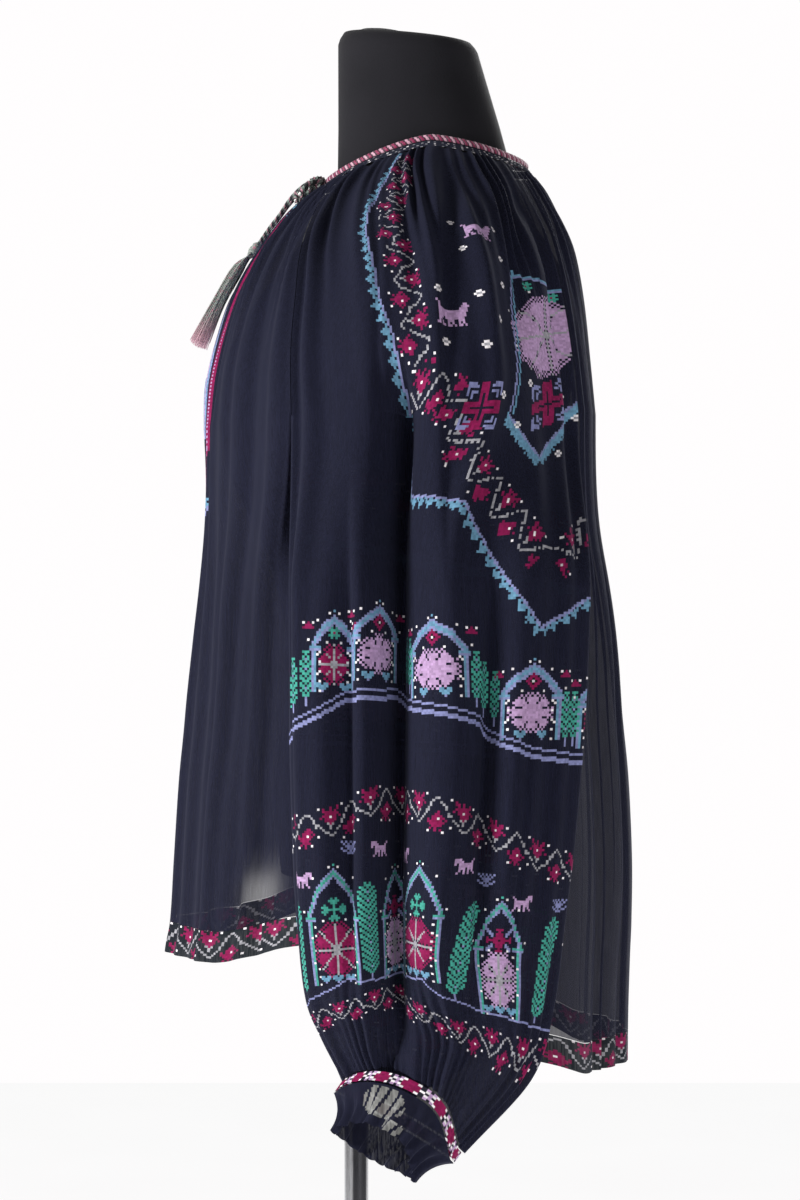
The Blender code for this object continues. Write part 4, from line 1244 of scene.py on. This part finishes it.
sleeve_gauze = gauze("sleeve_gauze")
for hand, sign in HANDS:
    outer_work, inner_work = sleeve_work[:, :STITCH_COLUMNS], sleeve_work[YOKE_ROWS:, STITCH_COLUMNS:]
    meshes = [grid(STITCH_COLUMNS, YOKE_ROWS + LOWER_ROWS, outer_sleeve(sign), outer_work, sign > 0),
              grid(INNER_COLUMNS, LOWER_ROWS, inner_sleeve(sign), inner_work, sign > 0)]
    sleeve = piece("sleeve_gauze_" + hand, meshes, sleeve_gauze)
    dressed(sleeve, "sleeve_" + hand)


# Cuffs: a narrow worked band over elastic that closes each sleeve, and below it a short frill of single gauze
# that stands in waves.
CUFF_GAP = 0.0016
CUFF_BAND = 0.008
FRILL_START = 0.0112
FRILL_LONG = 0.0305
FRILL_SCALLOP = 0.0013
FRILL_FLARE = 0.005
FRILL_SHORT = 1.2
FRILL_IN = 3.2
FRILL_WAVE = 0.0028
FRILL_WAVES = 18


def cuff_ring(beyond, around, flare, wave):
    """Points of the cuff beyond the sleeve's end; the frill closes in along the cuff's long way."""
    p = tube_base(1.0, around)
    one, other = tube_base(1.0, np.array([0.0]))[0], tube_base(1.0, np.array([180.0]))[0]
    ends, mid = other - one, (one + other) / 2
    along = ends / np.linalg.norm(ends)
    out = p - mid
    out = out - CUFF_AXIS * (out @ CUFF_AXIS)[:, None]
    across = (out @ along) / (np.linalg.norm(ends) / 2)
    out = out / np.linalg.norm(out, axis=1)[:, None]
    down = CUFF_AXIS * (beyond - flare * FRILL_SHORT * across**2)[:, None]
    aside = out * (1, 0, 0) * flare[:, None] - along * (across * flare * FRILL_IN)[:, None]
    return p + down + out * wave[:, None] + aside


cuff_cloth = gauze("cuff_cloth", 1.0, (0.012, 0.012, 0.020))
# The frill's gauze carries painted light, a pale grey, in its clear patches.
frill_gauze = gauze("frill_gauze", 0.99, sheer=0.10, painted_light=0.95)
CUFF_CELLS, CUFF_ROWS = 130, 5
FRILL_CELLS, FRILL_ROWS = 260, 18
cuff_work = np.zeros((CUFF_ROWS, CUFF_CELLS, 4))
BLOCKS = ("wmmmw.l.l", "mmmmm.wlw", "mmmmmw.l.", "mmmmm.wlw", "wmmmw.l.l")
border(cuff_work, ((0, 0), (CUFF_CELLS, 0)), BLOCKS)
# Two patches of the frill are more sheer and carry painted light, a pale grey in their colour.
frill_work = np.zeros((FRILL_ROWS, FRILL_CELLS, 4))
for c0, r0, wide, high in ((46, 7, 17, 7), (61, 15, 8, 3)):
    for r, c in np.ndindex(FRILL_ROWS, FRILL_CELLS):
        if ((c - c0) / wide) ** 2 + ((r - r0) / high) ** 2 < 1 and (c + r // 2) % 7 > 1:
            frill_work[r, c, 0] = 1
for hand, sign in HANDS:
    def band_place(across, down):
        """Points of the band, closed where it comes round."""
        around = 360 * np.where(across > 0.9999, 0.0, across)
        wave = 0.0004 * np.sin(2 * np.pi * 40 * across)
        return cuff_ring(CUFF_GAP + CUFF_BAND * down, around, np.zeros_like(down), wave) * (sign, 1, 1)

    def frill_place(across, down):
        """Points of the frill in uneven waves that grow towards its scalloped rim."""
        across = np.where(across > 0.9999, 0.0, across)
        turn = 2 * np.pi * across
        k = down * (2 - down)
        swing = np.cos(FRILL_WAVES * turn + 2 * np.pi * 0.20 * np.sin(3 * turn))
        swing = swing * (0.8 + 0.2 * np.sin(5 * turn + 1)) + 0.15 * np.sin(41 * turn)
        scallop = FRILL_SCALLOP * np.abs(np.sin(15 * turn)) * down**3
        beyond = FRILL_START + FRILL_LONG * down + scallop
        return cuff_ring(beyond, 360 * across, FRILL_FLARE * k, FRILL_WAVE * swing * k) * (sign, 1, 1)

    cuff_meshes = [grid(CUFF_CELLS, CUFF_ROWS, band_place, cuff_work, sign > 0)]
    frill_meshes = [grid(FRILL_CELLS, FRILL_ROWS, frill_place, frill_work, sign > 0)]
    cuff = piece("cuff_band_cloth_" + hand, cuff_meshes, cuff_cloth)
    frill = piece("cuff_frill_gauze_" + hand, frill_meshes, frill_gauze)
    dressed(cuff, "cuff_band_" + hand)
    dressed(frill, "cuff_frill_" + hand)


# Neck: a shirred strip under a narrow binding that is whipped over with magenta and pink thread. Both leave
# a gap at the centre front, between the ties.
NECK_GAP = 0.0042
NECK_CELLS, NECK_ROWS = 320, 6
neck_cloth = gauze("neck_cloth", 1.0, (0.010, 0.012, 0.022))
neck_work = np.zeros((NECK_ROWS, NECK_CELLS, 4))
for r, line in ((1, "g...g..w.."), (3, "..g...g...w..."), (5, "w...g....g")):
    border(neck_work, ((0, r), (NECK_CELLS, r)), (line,))


def neck_place(across, down):
    """Points of the shirred strip."""
    level = NECK_BAND * down
    gap = np.degrees(NECK_GAP / (SLIT_MIDDLE_Y - panel_base(level, np.zeros_like(level))[:, 1]))
    angle = gap + (360 - 2 * gap) * across
    relief = 0.0005 * gathers(across, 70, 0.1) * step(down / 0.3)
    return panel_point(level, np.where(angle <= 180, angle, angle - 360), relief)


meshes = [grid(NECK_CELLS, NECK_ROWS, neck_place, neck_work, True)]
shirring = piece("neck_shirring", meshes, neck_cloth)
dressed(shirring, "neck_band")

whipping, start, shader = finish("whipped_thread", 0.6, Sheen_Weight=0.3)
u, v = start.cells()
slant = v / 3.4 + u / 9.0
turn = slant.fraction()
group = (slant / 2.0).fraction()
colour = group.above(0.50, 0.54).mixed((0.25, 0.010, 0.070, 1), (0.60, 0.33, 0.42, 1))
# Painted shade: the grooves between the wraps are darkened in the colour, and the bump also lowers them.
grooves_and_painted_shade = turn.distance(0.5).above(0.24, 0.42)
colour = grooves_and_painted_shade.mixed(colour, (0.05, 0.012, 0.03, 1))
feed(shader, "Base Color", colour)
feed(shader, "Normal", raised(start, 1 - grooves_and_painted_shade, 0.0006, 1.0))

BINDING_STEPS = 480
BINDING_ROUND = 0.94
binding_gap = float(np.degrees(NECK_GAP / 0.0825))


def binding_place(across, down):
    """Points of the rolled binding, narrower at its two ends."""
    mid, up, out = neck_frame(binding_gap + (360 - 2 * binding_gap) * down)
    mid = mid + up * (BINDING_LIFT + BINDING_WIDE / 2) - out * BINDING_LIFT
    t = 2 * np.pi * across
    closing = np.where((down < 0.001) | (down > 0.999), 0.55, 1.0)
    bulge = closing * (1 + 0.06 * np.cos(2 * np.pi * (down * BINDING_STEPS / 5 + across)))
    tall, thick = BINDING_WIDE / 2 * BINDING_ROUND, BINDING_THICK / 2 * ROLL * BINDING_ROUND
    return mid + up * (tall * np.sin(t) * bulge)[:, None] + out * (thick * np.cos(t) * bulge)[:, None]


binding = piece("neck_whipped_binding", [grid(16, BINDING_STEPS, binding_place, None, True)], whipping)
dressed(binding, "neck_binding")


# Dress form: padding under a black jersey cover pulled smooth, with a small cap of the same jersey on its
# neck. It stands on a steel pole with a collar and a round plate.

# Sections of the torso: height, half width, front y, back y.
FORM = (
    (0.872, 0.156, -0.060, 0.150),
    (0.930, 0.164, -0.066, 0.158),
    (1.000, 0.148, -0.058, 0.140),
    (1.060, 0.127, -0.056, 0.122),
    (1.120, 0.132, -0.070, 0.132),
    (1.180, 0.145, -0.101, 0.153),
    (1.225, 0.152, -0.110, 0.166),
    (1.270, 0.158, -0.104, 0.173),
    (1.305, 0.165, -0.086, 0.171),
    (1.335, 0.171, -0.064, 0.163),
    (1.358, 0.160, -0.045, 0.151),
    (1.376, 0.124, -0.031, 0.138),
    (1.392, 0.080, -0.0200, 0.1290),
    (1.415, 0.056, -0.0155, 0.1225),
    (1.450, 0.054, -0.0150, 0.113),
    (1.490, 0.052, -0.0150, 0.101),
    (1.514, 0.052, -0.0150, 0.095),
    (1.520, 0.047, -0.0105, 0.0905),
)


FORM_TOP = 1.532
FORM_HIGH = 0.672
FORM_CLOSE = 0.012
FORM_SHRINK = 0.986


def form_place(across, down):
    """The padded torso, its first and last rows closing it underneath and on top."""
    z = np.clip(FORM_TOP - FORM_HIGH * down, FORM[0][0], FORM[-1][0])
    closing = np.clip(np.minimum((down * FORM_HIGH) / FORM_CLOSE, (1 - down) * FORM_HIGH / FORM_CLOSE), 0, 1)
    half, yf, yb = (np.interp(z, [r[0] for r in FORM], [r[k] for r in FORM]) for k in (1, 2, 3))
    t = 2 * np.pi * across
    c, s = power(np.cos(t), 0.9), power(np.sin(t), 0.9)
    tilt = 0.0045 * np.maximum(0.0, (z - 1.49) / 0.03) * c * closing
    half, deep = half * closing * FORM_SHRINK, (yb - yf) / 2 * closing * FORM_SHRINK
    return spots(half * s, (yf + yb) / 2 - deep * c, z + tilt)


jersey, start, shader = finish("black_jersey", 0.9, Sheen_Weight=0.12, Sheen_Roughness=0.4)
shader.inputs["Specular IOR Level"].default_value = 0.2
where = start.spot()
knit = start.noise(where, 900.0, 2.0)
cloudy = start.noise(where, 14.0, 2.0)
colour = cloudy.above(0.3, 0.7).mixed((0.0065, 0.0062, 0.0085, 1), (0.0100, 0.0095, 0.0125, 1))
feed(shader, "Base Color", colour)
feed(shader, "Normal", raised(start, knit, 0.0004, 0.6))

chrome, start, shader = finish("brushed_steel", 0.22, Metallic=1.0)
where = start.spot()
fine = start.noise(start.stretched(where, 0.05), 1200.0)
# Painted reflection: dark stripes set by the angle round the pole stand in for the room mirrored in the
# steel.
painted_reflection = (start.math("ARCTAN2", where.along(1), where.along(0)) * 2.0 + 0.9).sine()
bright = fine.above(0.2, 0.8).mixed((0.52, 0.52, 0.54, 1), (0.66, 0.66, 0.68, 1))
feed(shader, "Base Color", painted_reflection.above(0.1, 0.5).mixed(bright, (0.10, 0.10, 0.11, 1)))
feed(shader, "Roughness", fine * 0.10 + 0.16)

torso = piece("torso_cover", [grid(96, 168, form_place, None, True)], jersey)
dressed(torso, "dress_form_torso")
for slot in bpy.data.objects["neck_cap"].material_slots:
    slot.material = jersey
bpy.data.objects["neck_cap"].data.shade_smooth()


def turned(name, profile, made):
    """A turned piece from rows of radius and height, listed from the top down."""
    radii = np.array([r for r, _ in profile])
    heights = np.array([z for _, z in profile])

    def place(across, down):
        i = np.rint(down * (len(profile) - 1)).astype(int)
        t = 2 * np.pi * across
        return spots(radii[i] * np.sin(t), -radii[i] * np.cos(t), heights[i])
    return piece(name, [grid(72, len(profile) - 1, place, None, True)], made)


def rounded(radius, low, high, soft):
    """Profile of a disc with soft edges."""
    turns = [math.radians(a) for a in (90, 67, 45, 22, 0)]
    top = [(radius - soft + soft * math.cos(a), high - soft + soft * math.sin(a)) for a in turns]
    bottom = [(r, low + high - z) for r, z in reversed(top)]
    inner = [(0.0, high), (radius - soft - 0.002, high)]
    return inner + top + bottom + [(r, low + high - z) for r, z in reversed(inner)]


plate_steel, start, shader = finish("plate_steel", 0.34, Metallic=1.0)
where = start.spot()
fine = start.noise(where, 900.0)
feed(shader, "Base Color", fine.above(0.2, 0.8).mixed((0.48, 0.48, 0.50, 1), (0.56, 0.56, 0.58, 1)))
feed(shader, "Roughness", fine * 0.10 + 0.28)
for name, node, profile, made in (
        ("steel_pole", "pole", rounded(0.0093, 0.0093, 0.8594, 0.0004), chrome),
        ("steel_collar", "pole_collar", rounded(0.0295, 0.8600, 0.8717, 0.0015), chrome),
        ("steel_base", "base_plate", rounded(0.165, 0.0, 0.009, 0.002), plate_steel)):
    dressed(turned(name, profile, made), node)


# Studio: a plain pale floor that fades into the white surround, and soft light from both sides and from
# behind, so that the sheer gauze glows at its edges.
FLOOR_HALF = 6
pale, start, shader = finish("pale_floor", 0.9)
where = start.spot()
clouds = start.noise(where, 3.0).above(0.2, 0.8)
feed(shader, "Base Color", clouds.mixed((0.80, 0.80, 0.80, 1), (0.84, 0.84, 0.84, 1)))
away = start.node("ShaderNodeVectorMath", {"operation": "LENGTH"}, {0: where}, 1).above(1.0, 5.8)
feed(shader, "Emission Color", away.mixed((0.90, 0.875, 0.885, 1), (1.0, 1.0, 1.0, 1)))
shader.inputs["Emission Strength"].default_value = 0.78
bm = bmesh.new()
bmesh.ops.create_grid(bm, x_segments=1, y_segments=1, size=FLOOR_HALF)
mesh = bpy.data.meshes.new("floor")
bm.to_mesh(mesh)
bm.free()
mesh.materials.append(pale)
floor = bpy.data.objects.new("floor", mesh)
scene.collection.objects.link(floor)

world = bpy.data.worlds.new("white_surround")
world.use_nodes = True
surround = world.node_tree.nodes["Background"]
surround.inputs["Color"].default_value = (1.0, 0.985, 0.99, 1)
seen = Value(world.node_tree).node("ShaderNodeLightPath", None, None, 0)
feed(surround, "Strength", seen * 0.83 + 0.17)
scene.world = world
scene.view_settings.view_transform = "Standard"


def softbox(name, place, aim, size, energy):
    """A square light aimed at a place."""
    light = bpy.data.lights.new(name, "AREA")
    light.size = size
    light.energy = energy
    obj = bpy.data.objects.new(name, light)
    obj.location = place
    obj.rotation_euler = (Vector(aim) - Vector(place)).to_track_quat("-Z", "Y").to_euler()
    scene.collection.objects.link(obj)


softbox("left_softbox", (1.1, -2.5, 1.9), (0, 0, 1.1), 0.8, 106)
softbox("right_softbox", (2.4, 1.6, 1.5), (0, 0, 1.0), 1.2, 22)
softbox("back_softbox", (-2.4, 1.0, 2.2), (0, 0, 1.1), 1.4, 50)
